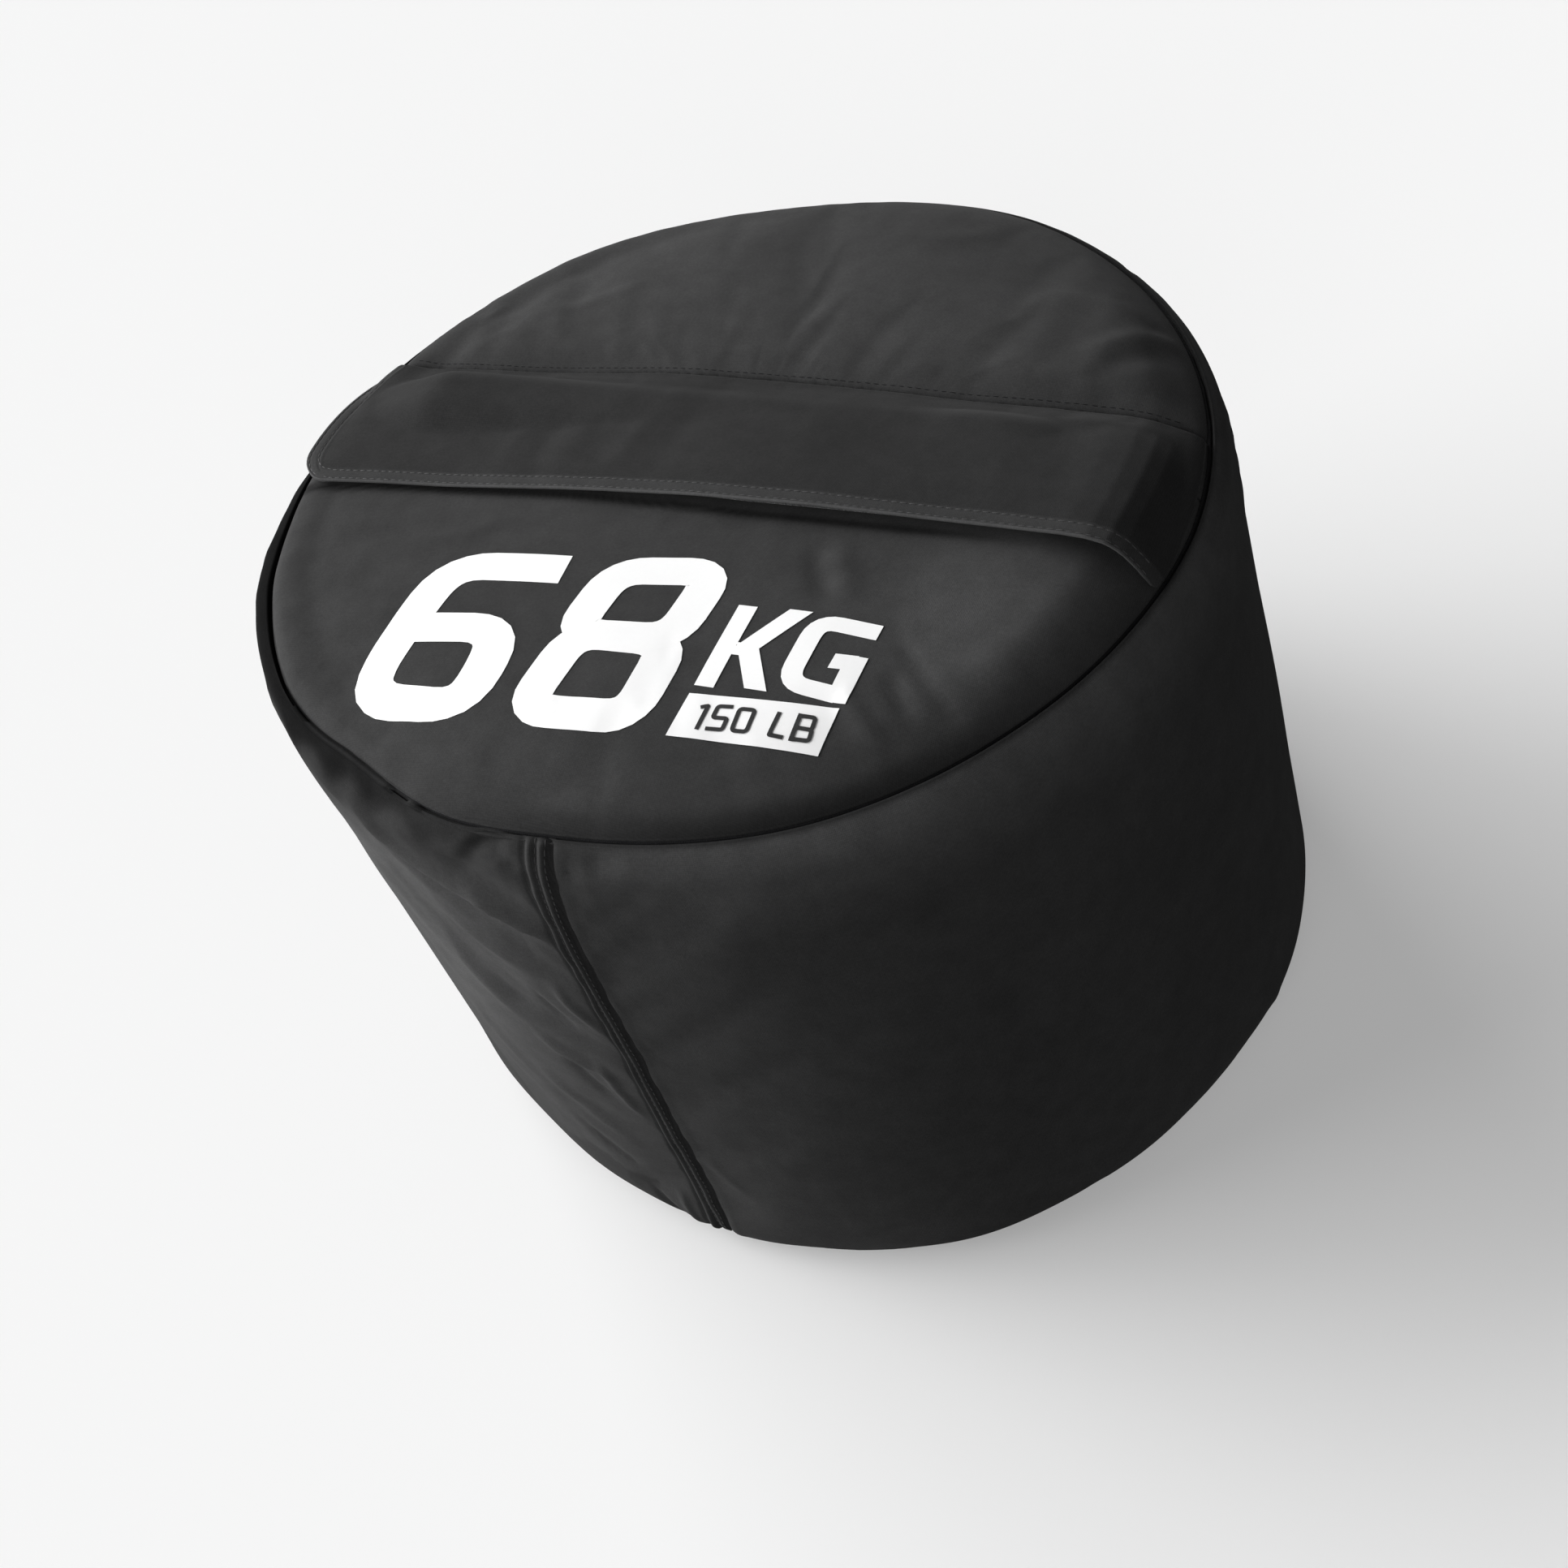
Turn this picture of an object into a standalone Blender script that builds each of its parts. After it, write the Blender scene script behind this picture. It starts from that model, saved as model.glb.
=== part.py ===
"""Strongman sandbag trainer: a stuffed round bag with a hook-and-loop flap over its zip.

Metres, +Z up. The origin is the centre of the base, on the floor. +X runs along the flap,
and -Y is the front, where the one seam of the side wall comes down.
"""
import math

import bmesh
import bpy
from mathutils import Vector

# Bag, as stuffed: the rim seam joins the top to the side wall
RIM_RADIUS = 0.2025
SEAM_HEIGHT = 0.303
CROWN_RISE = 0.017
CROWN_POWER = 8
SEAM_DIP = 0.002
SHOULDER_OUT = 0.0075
SHOULDER_LIP = 0.003
SHOULDER_DROP = 0.016
BELLY = 0.001
FOOT_SPREAD = 0.004
FOOT_ROLL = 0.021
FOOT_TUCK = 0.017
BOTTOM_SEAM_HEIGHT = 0.006

# Where the sand pushes the cloth out or lets it in: direction and spread in degrees, share of the radius
RIM_LOBE_SHARES = ((103, -0.045, 38), (182, 0.032, 40), (228, 0.022, 32), (275, -0.018, 30))
FOOT_LOBE_SHARES = ((20, 0.045, 70), (120, 0.03, 60), (248, -0.086, 65))

# Cloth and clearances
CLOTH = 0.0016
LINER_CLOTH = 0.0008
SEAT_GAP = 0.0003
SLACK_GAP = 0.0008

# Side seam, a lapped fold with two ridges and a groove on its right
SIDE_SEAM_DEGREES = -90.5
LAP_WIDTH = 0.014
LAP_RISE = 0.0022
LAP_PLACE_SHARES = (-0.64, -0.5, -0.16, 0.0, 0.16, 0.45, 0.58, 0.85)
LAP_RISE_SHARES = (0.0, 0.9, 1.0, 0.5, 1.0, 0.9, -0.4, 0.0)

# Binding tapes over the raw edges inside
BINDING_WIDTH = 0.011
BINDING_THICK = 0.0026
SIDE_BINDING_WIDTH = 0.014
SIDE_BINDING_THICK = 0.0015

# Zipped opening across the top
ZIP_Y = 0.020
ZIP_OPENING = 0.013
ZIP_TAPE_WIDTH = 0.014
ZIP_TAPE_THICK = 0.0008
ZIP_TAPE_LENGTH = 0.276
COIL_LENGTH = 0.264
COIL_WIDTH = 0.0024
COIL_HEIGHT = 0.0024
STOP_LENGTH = 0.003
STOP_WIDTH = 0.0062
STOP_HEIGHT = 0.0030

# Slider and pull
SLIDER_LENGTH = 0.012
SLIDER_PLATE = 0.0012
SLIDER_FLANGE = 0.0013
SLIDER_STOP_GAP = 0.0005
BRIDGE_SPAN = 0.007
BRIDGE_LEG = 0.001
BRIDGE_WIDTH = 0.002
BRIDGE_HEIGHT = 0.0028
PULL_THICK = 0.0012
PULL_WIDTH = 0.0078
PULL_LENGTH = 0.020
PULL_WINDOW_LENGTH = 0.0046
PULL_WINDOW_WIDTH = 0.0028

# Closure flap, sewn in along its rear edge
FLAP_REAR_Y = 0.0544
FLAP_FRONT_Y = -0.0349
FLAP_END_INSET_LEFT = 0.0012
FLAP_END_INSET_RIGHT = 0.0035
FLAP_CORNER_LEFT = 0.020
FLAP_CORNER_RIGHT = 0.011
FLAP_REAR_LIFT = 0.0008
FLAP_ZIP_LIFT = 0.0066
FLAP_LIP_LIFT = 0.0069
FLAP_CORNER_ROW_SHARE = 2 / 3
FLAP_SLOPE_ROW_SHARE = 2 / 3
FLAP_SEAM_GAP = 0.001
FLAP_HINGE_CLEARANCE = 0.0008
PANEL_SEAM_GAP = 0.0006

# Hook-and-loop tapes
HOOK_LENGTH = 0.290
HOOK_WIDTH = 0.020
HOOK_THICK = 0.0018
LOOP_THICK = 0.0024
HOOK_FROM_EDGE = 0.006

# Liner, its throat and the sand
LINER_FOOT_HEIGHT = 0.027
LINER_FOOT_STEP = 0.0175
LINER_FOOT_STEP_HEIGHT = 0.0175
LINER_SHOULDER_LOW = 0.024
LINER_SHOULDER_HIGH = 0.0175
LINER_SEAM_DENT = 0.0048
THROAT_RECESS = 0.0094
THROAT_RECESS_SLOPE = 0.014
THROAT_RECESS_RADIUS = 0.068
THROAT_MOUTH_RADIUS = 0.029
THROAT_LENGTH = 0.104
THROAT_FOLD_LENGTH = 0.070
THROAT_WIDTH = 0.046
THROAT_LAYER = 0.0018
THROAT_FOLD_GAP = 0.0004
TIE_WIDTH = 0.018
TIE_THICK = 0.0011
SAND_SETTLING = 0.0012

# Fineness of the curved faces
COLUMNS = 56
SHOULDER_STEPS = 3
FOOT_STEPS = 3
WALL_ROW_SHARES = (0.25, 0.5, 0.75)
TOP_ROW_SHARES = (0.985, 0.955, 0.91, 0.85, 0.77, 0.66, 0.5, 0.26)
BASE_ROW_SHARES = (0.9, 0.5)
FLAP_HALF_COLUMNS = 11
STRIP_COLUMNS = 16
CUTTER_OVERRUN = 0.05
SHARP_DEGREES = 40
RIM_SEARCH_STEPS = 8

CLOTH_BLACK = (0.036, 0.036, 0.038)
FLAP_BLACK = (0.033, 0.033, 0.035)
TAPE_BLACK = (0.018, 0.018, 0.019)
COIL_BLACK = (0.022, 0.022, 0.024)
DARK_METAL = (0.10, 0.10, 0.105)
LINER_GREY = (0.33, 0.33, 0.34)
SAND_TAN = (0.55, 0.44, 0.30)


def clear_scene():
    for old in list(bpy.data.objects):
        bpy.data.objects.remove(old, do_unlink=True)


def finish(name, colour, roughness, metallic=0.0):
    """A plain material in the piece's own colour."""
    material = bpy.data.materials.new(name)
    material.use_nodes = True
    shader = material.node_tree.nodes["Principled BSDF"]
    shader.inputs["Base Color"].default_value = (*colour, 1.0)
    shader.inputs["Roughness"].default_value = roughness
    shader.inputs["Metallic"].default_value = metallic
    return material


def lobes(degrees, table):
    """How far the outline swells in this direction, as a share of the radius."""
    total = 0.0
    for centre, swell, spread in table:
        away = abs((degrees - centre + 180) % 360 - 180)
        if away < spread:
            total += swell * math.cos(math.pi / 2 * away / spread) ** 2
    return total


def outline(degrees, height):
    """Radius of the seam line's outline, carried down the wall to this height."""
    drop = (SEAM_HEIGHT - height) / SEAM_HEIGHT
    rim = RIM_RADIUS * (1 + lobes(degrees, RIM_LOBE_SHARES))
    foot = (RIM_RADIUS + FOOT_SPREAD) * (1 + lobes(degrees, FOOT_LOBE_SHARES))
    return rim * (1 - drop) + foot * drop + BELLY * 4 * drop * (1 - drop)


def columns():
    """Directions of the mesh columns, evenly spread from the side seam on."""
    return [SIDE_SEAM_DEGREES + 360 * i / COLUMNS for i in range(COLUMNS)]


def lap_columns():
    """Directions with the side seam's own columns in place of the first, and the lap's rise at each."""
    seam_radius = RIM_RADIUS + SHOULDER_OUT
    places = []
    for place, rise in zip(LAP_PLACE_SHARES, LAP_RISE_SHARES):
        turn = math.degrees(place * LAP_WIDTH / seam_radius)
        places.append((SIDE_SEAM_DEGREES + turn, rise * LAP_RISE))
    return places + [(degrees, 0.0) for degrees in columns()[1:]]


def place(degrees, radius, height):
    turn = math.radians(degrees)
    return Vector((radius * math.cos(turn), radius * math.sin(turn), height))


def crown(share):
    """Height of the top cloth at this share of the way from the middle to the rim seam."""
    return SEAM_HEIGHT + CROWN_RISE * (1 - min(share, 1.0) ** CROWN_POWER)


def top_height(x, y):
    degrees = math.degrees(math.atan2(y, x))
    return crown(math.hypot(x, y) / outline(degrees, SEAM_HEIGHT))


def rim_x(y, side, inset):
    """Where the rim seam, drawn in by inset, crosses the line at y. Side is 1 on the right, -1 on the left."""
    x = side * RIM_RADIUS
    for _ in range(RIM_SEARCH_STEPS):
        radius = outline(math.degrees(math.atan2(y, x)), SEAM_HEIGHT) - inset
        x = side * math.sqrt(radius ** 2 - y ** 2)
    return x


def zip_heights():
    """Heights of the straight zip's layers: tape underside, tape top, coil underside and coil top.
    The corners of its tapes lie just under the top cloth."""
    corner_y = ZIP_Y + ZIP_TAPE_WIDTH + SEAT_GAP
    corner_tops = [top_height(side * ZIP_TAPE_LENGTH / 2, corner_y) for side in (-1, 1)]
    tape_top = min(corner_tops) - CLOTH - SEAT_GAP
    coil_low = tape_top + SEAT_GAP
    return tape_top - ZIP_TAPE_THICK, tape_top, coil_low, coil_low + COIL_HEIGHT


def rank(ring):
    """Orders two rings by height, then by size, so that nested skins are split along the same diagonals."""
    height = sum(vertex.co.z for vertex in ring) / len(ring) / RIM_RADIUS
    radius = sum(vertex.co.xy.length for vertex in ring) / len(ring) / RIM_RADIUS
    return round(height, 4), round(radius, 4)


def bridge(work, first, second):
    """Triangles between two rings of vertices, either of which may be a single point."""
    if rank(first) < rank(second):
        first, second = second, first
    count = max(len(first), len(second))
    for i in range(count):
        j = (i + 1) % count
        a, b = first[i % len(first)], first[j % len(first)]
        c, d = second[j % len(second)], second[i % len(second)]
        if a is not b:
            work.faces.new((a, b, c))
        if c is not d:
            work.faces.new((a, c, d))


def add_object(name, work, material, smooth=True):
    bmesh.ops.recalc_face_normals(work, faces=work.faces)
    mesh = bpy.data.meshes.new(name)
    work.to_mesh(mesh)
    work.free()
    mesh.materials.append(material)
    if smooth:
        mesh.shade_smooth()
        mesh.set_sharp_from_angle(angle=math.radians(SHARP_DEGREES))
    made = bpy.data.objects.new(name, mesh)
    bpy.context.scene.collection.objects.link(made)
    return made


def wrapped(name, rings, material, joined):
    """A skin over rings of points. When joined, the last ring meets the first."""
    work = bmesh.new()
    made = [[work.verts.new(point) for point in ring] for ring in rings]
    for first, second in zip(made, made[1:]):
        bridge(work, first, second)
    if joined:
        bridge(work, made[-1], made[0])
    return add_object(name, work, material)


def sheet(name, grid, thickness, material):
    """A sheet over rows of points, each with its own underside straight below it."""
    work = bmesh.new()
    upper = [[work.verts.new(point + Vector((0, 0, thickness))) for point in row] for row in grid]
    lower = [[work.verts.new(point) for point in row] for row in grid]
    last_row = len(grid) - 1
    last_column = len(grid[0]) - 1
    for layer in (upper, lower):
        for i in range(last_row):
            for j in range(last_column):
                work.faces.new((layer[i][j], layer[i][j + 1], layer[i + 1][j + 1], layer[i + 1][j]))
    edge = [(0, j) for j in range(last_column)]
    edge += [(i, last_column) for i in range(last_row)]
    edge += [(last_row, j) for j in range(last_column, 0, -1)]
    edge += [(i, 0) for i in range(last_row, 0, -1)]
    for (i, j), (k, m) in zip(edge, edge[1:] + edge[:1]):
        work.faces.new((upper[i][j], upper[k][m], lower[k][m], lower[i][j]))
    return add_object(name, work, material)


def extruded(name, points, depth, material):
    """A flat outline pushed along depth."""
    work = bmesh.new()
    face = work.faces.new([work.verts.new(point) for point in points])
    pushed = bmesh.ops.extrude_face_region(work, geom=[face])
    moved = [item for item in pushed["geom"] if isinstance(item, bmesh.types.BMVert)]
    bmesh.ops.translate(work, verts=moved, vec=depth)
    return add_object(name, work, material, smooth=False)


def box(name, low, high, material):
    low = Vector(low)
    high = Vector(high)
    corners = [low, Vector((high.x, low.y, low.z))]
    corners += [Vector((high.x, high.y, low.z)), Vector((low.x, high.y, low.z))]
    return extruded(name, corners, Vector((0, 0, high.z - low.z)), material)


def helper(made):
    """A cutter or a shape to be joined, which is no piece by itself."""
    made.hide_render = True
    made.display_type = "WIRE"
    return made


def combine(target, other, operation):
    modifier = target.modifiers.new(operation.lower(), "BOOLEAN")
    modifier.operation = operation
    modifier.solver = "EXACT"
    modifier.object = helper(other)


def set_origin(made, origin):
    """Moves a piece's origin onto its joint's axis, leaving its shape where it is."""
    for vertex in made.data.vertices:
        vertex.co -= Vector(origin)
    made.location = origin


def wall_profile(inward):
    """(radial step, height) down the wall from rim seam to bottom seam, drawn in from the outer face."""
    points = [(SEAT_GAP / 2, SEAM_HEIGHT - SEAM_DIP - inward)]
    roll_out = SHOULDER_OUT - SHOULDER_LIP
    for i in range(SHOULDER_STEPS + 1):
        turn = math.pi / 2 * (1 - i / SHOULDER_STEPS)
        out = SHOULDER_LIP + roll_out * math.cos(turn) - inward * math.cos(turn)
        height = SEAM_HEIGHT - SHOULDER_DROP * (1 - math.sin(turn)) - inward * math.sin(turn)
        points.append((out, height))
    plain = SEAM_HEIGHT - SHOULDER_DROP - FOOT_ROLL
    for share in WALL_ROW_SHARES:
        points.append((SHOULDER_OUT - inward, SEAM_HEIGHT - SHOULDER_DROP - plain * share))
    seam_turn = math.asin(1 - BOTTOM_SEAM_HEIGHT / FOOT_ROLL)
    return points + foot_profile(inward, 0.0, seam_turn)


def foot_profile(inward, first_turn, last_turn):
    """(radial step, height) round the foot's roll, from the side towards the floor."""
    points = []
    for i in range(FOOT_STEPS + 1):
        turn = first_turn + (last_turn - first_turn) * i / FOOT_STEPS
        out = SHOULDER_OUT - FOOT_TUCK * (1 - math.cos(turn)) - inward * math.cos(turn)
        points.append((out, FOOT_ROLL * (1 - math.sin(turn)) + inward * math.sin(turn)))
    return points


def make_side_wall(material):
    """One wrap of cloth, closed by the lapped seam at the front."""
    around = lap_columns()
    outer = wall_profile(0.0)
    last = len(outer) - 1
    rings = []
    for i, (out, height) in enumerate(outer):
        fade = 0.0 if i in (0, last) else 1.0
        rings.append([place(d, outline(d, height) + out + fade * rise, height) for d, rise in around])
    for out, height in reversed(wall_profile(CLOTH)):
        rings.append([place(d, outline(d, height) + out, height) for d, _ in around])
    return wrapped("side_wall", rings, material, joined=True)


def make_bottom_panel(material):
    """The round base, flat on the floor, its edge turned up to the bottom seam."""
    seam_turn = math.asin(1 - BOTTOM_SEAM_HEIGHT / FOOT_ROLL)
    start = seam_turn + SEAT_GAP / FOOT_ROLL
    rings = []
    for out, height in foot_profile(0.0, start, math.pi / 2):
        rings.append([place(d, outline(d, height) + out, height) for d in columns()])
    flat_step = SHOULDER_OUT - FOOT_TUCK
    for share in BASE_ROW_SHARES:
        rings.append([place(d, share * (outline(d, 0) + flat_step), 0) for d in columns()])
    rings.append([Vector((0, 0, 0))])
    rings.append([Vector((0, 0, CLOTH))])
    for share in reversed(BASE_ROW_SHARES):
        rings.append([place(d, share * (outline(d, 0) + flat_step), CLOTH) for d in columns()])
    for out, height in reversed(foot_profile(CLOTH, start, math.pi / 2)):
        rings.append([place(d, outline(d, height) + out, height) for d in columns()])
    return wrapped("bottom_panel", rings, material, joined=True)


def top_disc(name, material):
    """The whole crowned top, from which the panels are cut."""
    edge = [(1.0, -SEAT_GAP / 2, SEAM_HEIGHT - SEAM_DIP)]
    rows = edge + [(share, 0.0, crown(share)) for share in TOP_ROW_SHARES]
    upper = []
    for share, out, z in rows:
        upper.append([place(d, share * outline(d, SEAM_HEIGHT) + out, z) for d in columns()])
    lower = [[point - Vector((0, 0, CLOTH)) for point in ring] for ring in upper]
    middle = Vector((0, 0, crown(0)))
    rings = upper + [[middle], [middle - Vector((0, 0, CLOTH))]] + lower[::-1]
    return wrapped(name, rings, material, joined=True)


def make_top_piece(name, low_y, high_y, material):
    """The part of the top between two straight edges along X."""
    piece = top_disc(name, material)
    reach = RIM_RADIUS + CUTTER_OVERRUN
    low = (-reach, low_y, SEAM_HEIGHT - CUTTER_OVERRUN)
    high = (reach, high_y, SEAM_HEIGHT + CUTTER_OVERRUN)
    combine(piece, box(name + "_outline", low, high, material), "INTERSECT")
    return piece


def make_top(material):
    reach = RIM_RADIUS + CUTTER_OVERRUN
    half_opening = ZIP_OPENING / 2
    half_seam = PANEL_SEAM_GAP / 2
    make_top_piece("top_front_panel", -reach, ZIP_Y - half_opening, material)
    make_top_piece("rear_facing_strip", ZIP_Y + half_opening, FLAP_REAR_Y - half_seam, material)
    make_top_piece("top_rear_panel", FLAP_REAR_Y + half_seam, reach, material)


def make_ring_binding(name, corners, material):
    """A folded tape sewn round a seam: corners are radial steps and heights of its section."""
    rings = [[place(d, outline(d, z) + out, z) for d in columns()] for out, z in corners]
    return wrapped(name, rings, material, joined=True)


def make_bindings(material):
    half = BINDING_THICK / 2
    top = SEAM_HEIGHT - SEAM_DIP - CLOTH - SEAT_GAP
    low = top - BINDING_WIDTH
    corners = [(half, top), (half, low), (-half, low), (-half, top)]
    make_ring_binding("top_seam_binding", corners, material)

    turn = math.asin(1 - BOTTOM_SEAM_HEIGHT / FOOT_ROLL)
    out, height = foot_profile(CLOTH + SLACK_GAP, turn, turn)[0]
    along = Vector((-math.cos(turn), math.sin(turn)))
    across = Vector((along.y, -along.x)) * half
    root = Vector((out, height))
    tip = root + along * BINDING_WIDTH
    corners = [root + across, tip + across, tip - across, root - across]
    make_ring_binding("bottom_seam_binding", corners, material)


def make_side_binding(material):
    """Tape down the inside of the side seam, between the two bound rims."""
    high = SEAM_HEIGHT - SHOULDER_DROP
    half_turn = math.degrees(SIDE_BINDING_WIDTH / 2 / (RIM_RADIUS + SHOULDER_OUT))
    heights = [high - (high - LINER_FOOT_HEIGHT) * share for share in (0.0, *WALL_ROW_SHARES, 1.0)]
    rings = []
    for height in heights:
        outer = SHOULDER_OUT - CLOTH - SLACK_GAP
        ring = []
        for turn, out in ((-1, outer), (0, outer), (1, outer), (1, outer - SIDE_BINDING_THICK),
                          (0, outer - SIDE_BINDING_THICK), (-1, outer - SIDE_BINDING_THICK)):
            degrees = SIDE_SEAM_DEGREES + turn * half_turn
            sagged = 0.0 if turn == 0 else SEAT_GAP / 2
            ring.append(place(degrees, outline(SIDE_SEAM_DEGREES, height) + out - sagged, height))
        rings.append(ring)
    work = bmesh.new()
    made = [[work.verts.new(point) for point in ring] for ring in rings]
    for first, second in zip(made, made[1:]):
        bridge(work, first, second)
    work.faces.new(made[0])
    work.faces.new(made[-1])
    return add_object("side_seam_binding", work, material)


def seam_dent(degrees):
    """How far the liner stays back from the tape on the side seam."""
    away = abs((degrees - SIDE_SEAM_DEGREES + 180) % 360 - 180)
    return LINER_SEAM_DENT * max(0.0, 1 - away * COLUMNS / 360)


def liner_top_drop():
    """How far the liner lies below the top cloth's outer face, clear of the zip's tapes."""
    tape_low, _, _, _ = zip_heights()
    return crown(0) - tape_low + SLACK_GAP


def throat_floor():
    """Height of the liner's recess, in which its folded throat lies."""
    return crown(0) - liner_top_drop() - THROAT_RECESS


def liner_rings(inward):
    """Rings of the liner's outer face, or of what lies inward of it, from the mouth to the base."""
    recess_outer = THROAT_RECESS_RADIUS + THROAT_RECESS_SLOPE
    floor = throat_floor() - inward
    top_drop = liner_top_drop() + inward
    rings = []
    for radius, height in ((THROAT_RECESS_RADIUS, floor), (recess_outer, floor + THROAT_RECESS)):
        rings.append([place(d, radius + inward, height) for d in columns()])
    inside_binding = BINDING_THICK / 2 + SLACK_GAP + inward
    edge_share = 1 - 2 * BINDING_THICK / RIM_RADIUS
    kept = [share for share in TOP_ROW_SHARES if recess_outer / RIM_RADIUS < share < edge_share]
    for share in reversed(kept):
        height = crown(share) - top_drop
        rings.append([place(d, share * (outline(d, SEAM_HEIGHT) - inward), height) for d in columns()])
    side_step = SHOULDER_OUT - CLOTH - SEAT_GAP - inward
    shoulder = [(-inside_binding, SEAM_HEIGHT - top_drop)]
    shoulder.append((-inside_binding, SEAM_HEIGHT - LINER_SHOULDER_HIGH - inward))
    shoulder.append((side_step, SEAM_HEIGHT - LINER_SHOULDER_LOW - inward))
    for out, height in shoulder:
        rings.append([place(d, outline(d, height) + out - seam_dent(d), height) for d in columns()])
    plain = SEAM_HEIGHT - LINER_SHOULDER_LOW - LINER_FOOT_HEIGHT
    for share in (*WALL_ROW_SHARES, 1.0):
        height = SEAM_HEIGHT - LINER_SHOULDER_LOW - plain * share + (inward if share == 1.0 else 0.0)
        rings.append([place(d, outline(d, height) + side_step - seam_dent(d), height) for d in columns()])
    base = CLOTH + SEAT_GAP + inward
    foot_step = SHOULDER_OUT - LINER_FOOT_STEP - inward
    for height in (LINER_FOOT_STEP_HEIGHT + inward, base):
        rings.append([place(d, outline(d, height) + foot_step, height) for d in columns()])
    rings.append([place(d, BASE_ROW_SHARES[-1] * outline(d, base), base) for d in columns()])
    rings.append([Vector((0, 0, base))])
    return rings


def make_liner(material):
    """The inner bag, open at the mouth where its throat is sewn on."""
    mouth = [place(d, THROAT_MOUTH_RADIUS, throat_floor()) for d in columns()]
    outer = [mouth] + liner_rings(0.0)
    inner_mouth = [point - Vector((0, 0, LINER_CLOTH)) for point in mouth]
    inner = [inner_mouth] + liner_rings(LINER_CLOTH)
    return wrapped("liner_bag", outer + inner[::-1], material, joined=True)


def make_sand(material):
    """The fill, which takes the liner's inner shape."""
    rings = liner_rings(LINER_CLOTH + SEAT_GAP)
    middle = sum(rings[0], Vector()) / len(rings[0])
    slump = Vector((0, 0, -SAND_SETTLING))
    rings[0] = [point + slump for point in rings[0]]
    return wrapped("sand_fill", [[middle + slump]] + rings, material, joined=False)


def make_throat(material, tie_material):
    """The liner's throat, folded flat over the mouth, and the strap that ties it."""
    bottom = throat_floor() + SEAT_GAP
    half_length = THROAT_LENGTH / 2
    half_width = THROAT_WIDTH / 2
    fold_x = half_length - THROAT_FOLD_LENGTH
    levels = [bottom, bottom + THROAT_LAYER, bottom + THROAT_LAYER + THROAT_FOLD_GAP]
    levels.append(levels[-1] + THROAT_LAYER)
    bend = half_length - THROAT_LAYER
    outline_points = [(-half_length, 0), (half_length, 0), (half_length, 3), (fold_x, 3)]
    outline_points += [(fold_x, 2), (bend, 2), (bend, 1), (-half_length, 1)]
    points = [Vector((x, -half_width, levels[level])) for x, level in outline_points]
    extruded("liner_throat", points, Vector((0, THROAT_WIDTH, 0)), material)

    rings = []
    half_tie = TIE_WIDTH / 2
    for x, grown in ((-half_tie, TIE_THICK), (half_tie, TIE_THICK), (half_tie, 0), (-half_tie, 0)):
        side = half_width + SEAT_GAP + grown
        low = levels[0] - SEAT_GAP - grown
        high = levels[3] + SEAT_GAP + grown
        corners = ((-side, low), (side, low), (side, high), (-side, high))
        rings.append([Vector((x, y, z)) for y, z in corners])
    wrapped("throat_tie", rings, tie_material, joined=True)


def make_zip(tape_material, coil_material, metal):
    tape_low, tape_top, coil_low, coil_top = zip_heights()
    for row, side in (("front", -1), ("rear", 1)):
        inner = ZIP_Y + side * SEAT_GAP / 2
        outer = inner + side * ZIP_TAPE_WIDTH
        half = ZIP_TAPE_LENGTH / 2
        low = (-half, min(inner, outer), tape_low)
        high = (half, max(inner, outer), tape_top)
        box("zip_tape_" + row, low, high, tape_material)
        outer = inner + side * COIL_WIDTH
        half = COIL_LENGTH / 2
        low = (-half, min(inner, outer), coil_low)
        high = (half, max(inner, outer), coil_top)
        box("zip_coil_" + row, low, high, coil_material)
    for end, side in (("left", -1), ("right", 1)):
        inner = side * (COIL_LENGTH / 2 + SEAT_GAP)
        outer = inner + side * STOP_LENGTH
        half = STOP_WIDTH / 2
        low = (min(inner, outer), ZIP_Y - half, coil_low)
        high = (max(inner, outer), ZIP_Y + half, coil_low + STOP_HEIGHT)
        box("zip_stop_" + end, low, high, metal)


def slider_start_x():
    """Middle of the slider with the zip shut."""
    return COIL_LENGTH / 2 - SLIDER_STOP_GAP - SLIDER_LENGTH / 2


def make_slider(metal):
    """A channel over the coil, with the bridge that holds the pull. Its origin is the middle of its base."""
    _, _, coil_low, coil_top = zip_heights()
    inner = COIL_WIDTH + SEAT_GAP / 2 + SEAT_GAP
    outer = inner + SLIDER_FLANGE
    under = coil_top + SEAT_GAP
    top = under + SLIDER_PLATE
    middle = slider_start_x()
    start = middle - SLIDER_LENGTH / 2
    section = [(-outer, coil_low), (-inner, coil_low), (-inner, under), (inner, under), (inner, coil_low)]
    section += [(outer, coil_low), (outer, top), (-outer, top)]
    points = [Vector((start, ZIP_Y + y, z)) for y, z in section]
    slider = extruded("zip_slider", points, Vector((SLIDER_LENGTH, 0, 0)), metal)

    half_span = BRIDGE_SPAN / 2
    leg = half_span - BRIDGE_LEG
    root = top - SLIDER_PLATE / 2
    peak = top + BRIDGE_HEIGHT
    hollow = peak - BRIDGE_LEG
    arch = [(-half_span, root), (-leg, root), (-leg, hollow), (leg, hollow), (leg, root), (half_span, root)]
    arch += [(half_span, peak), (-half_span, peak)]
    points = [Vector((middle + x, ZIP_Y - BRIDGE_WIDTH / 2, z)) for x, z in arch]
    combine(slider, extruded("slider_bridge", points, Vector((0, BRIDGE_WIDTH, 0)), metal), "UNION")
    set_origin(slider, (middle, ZIP_Y, coil_low))


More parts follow.
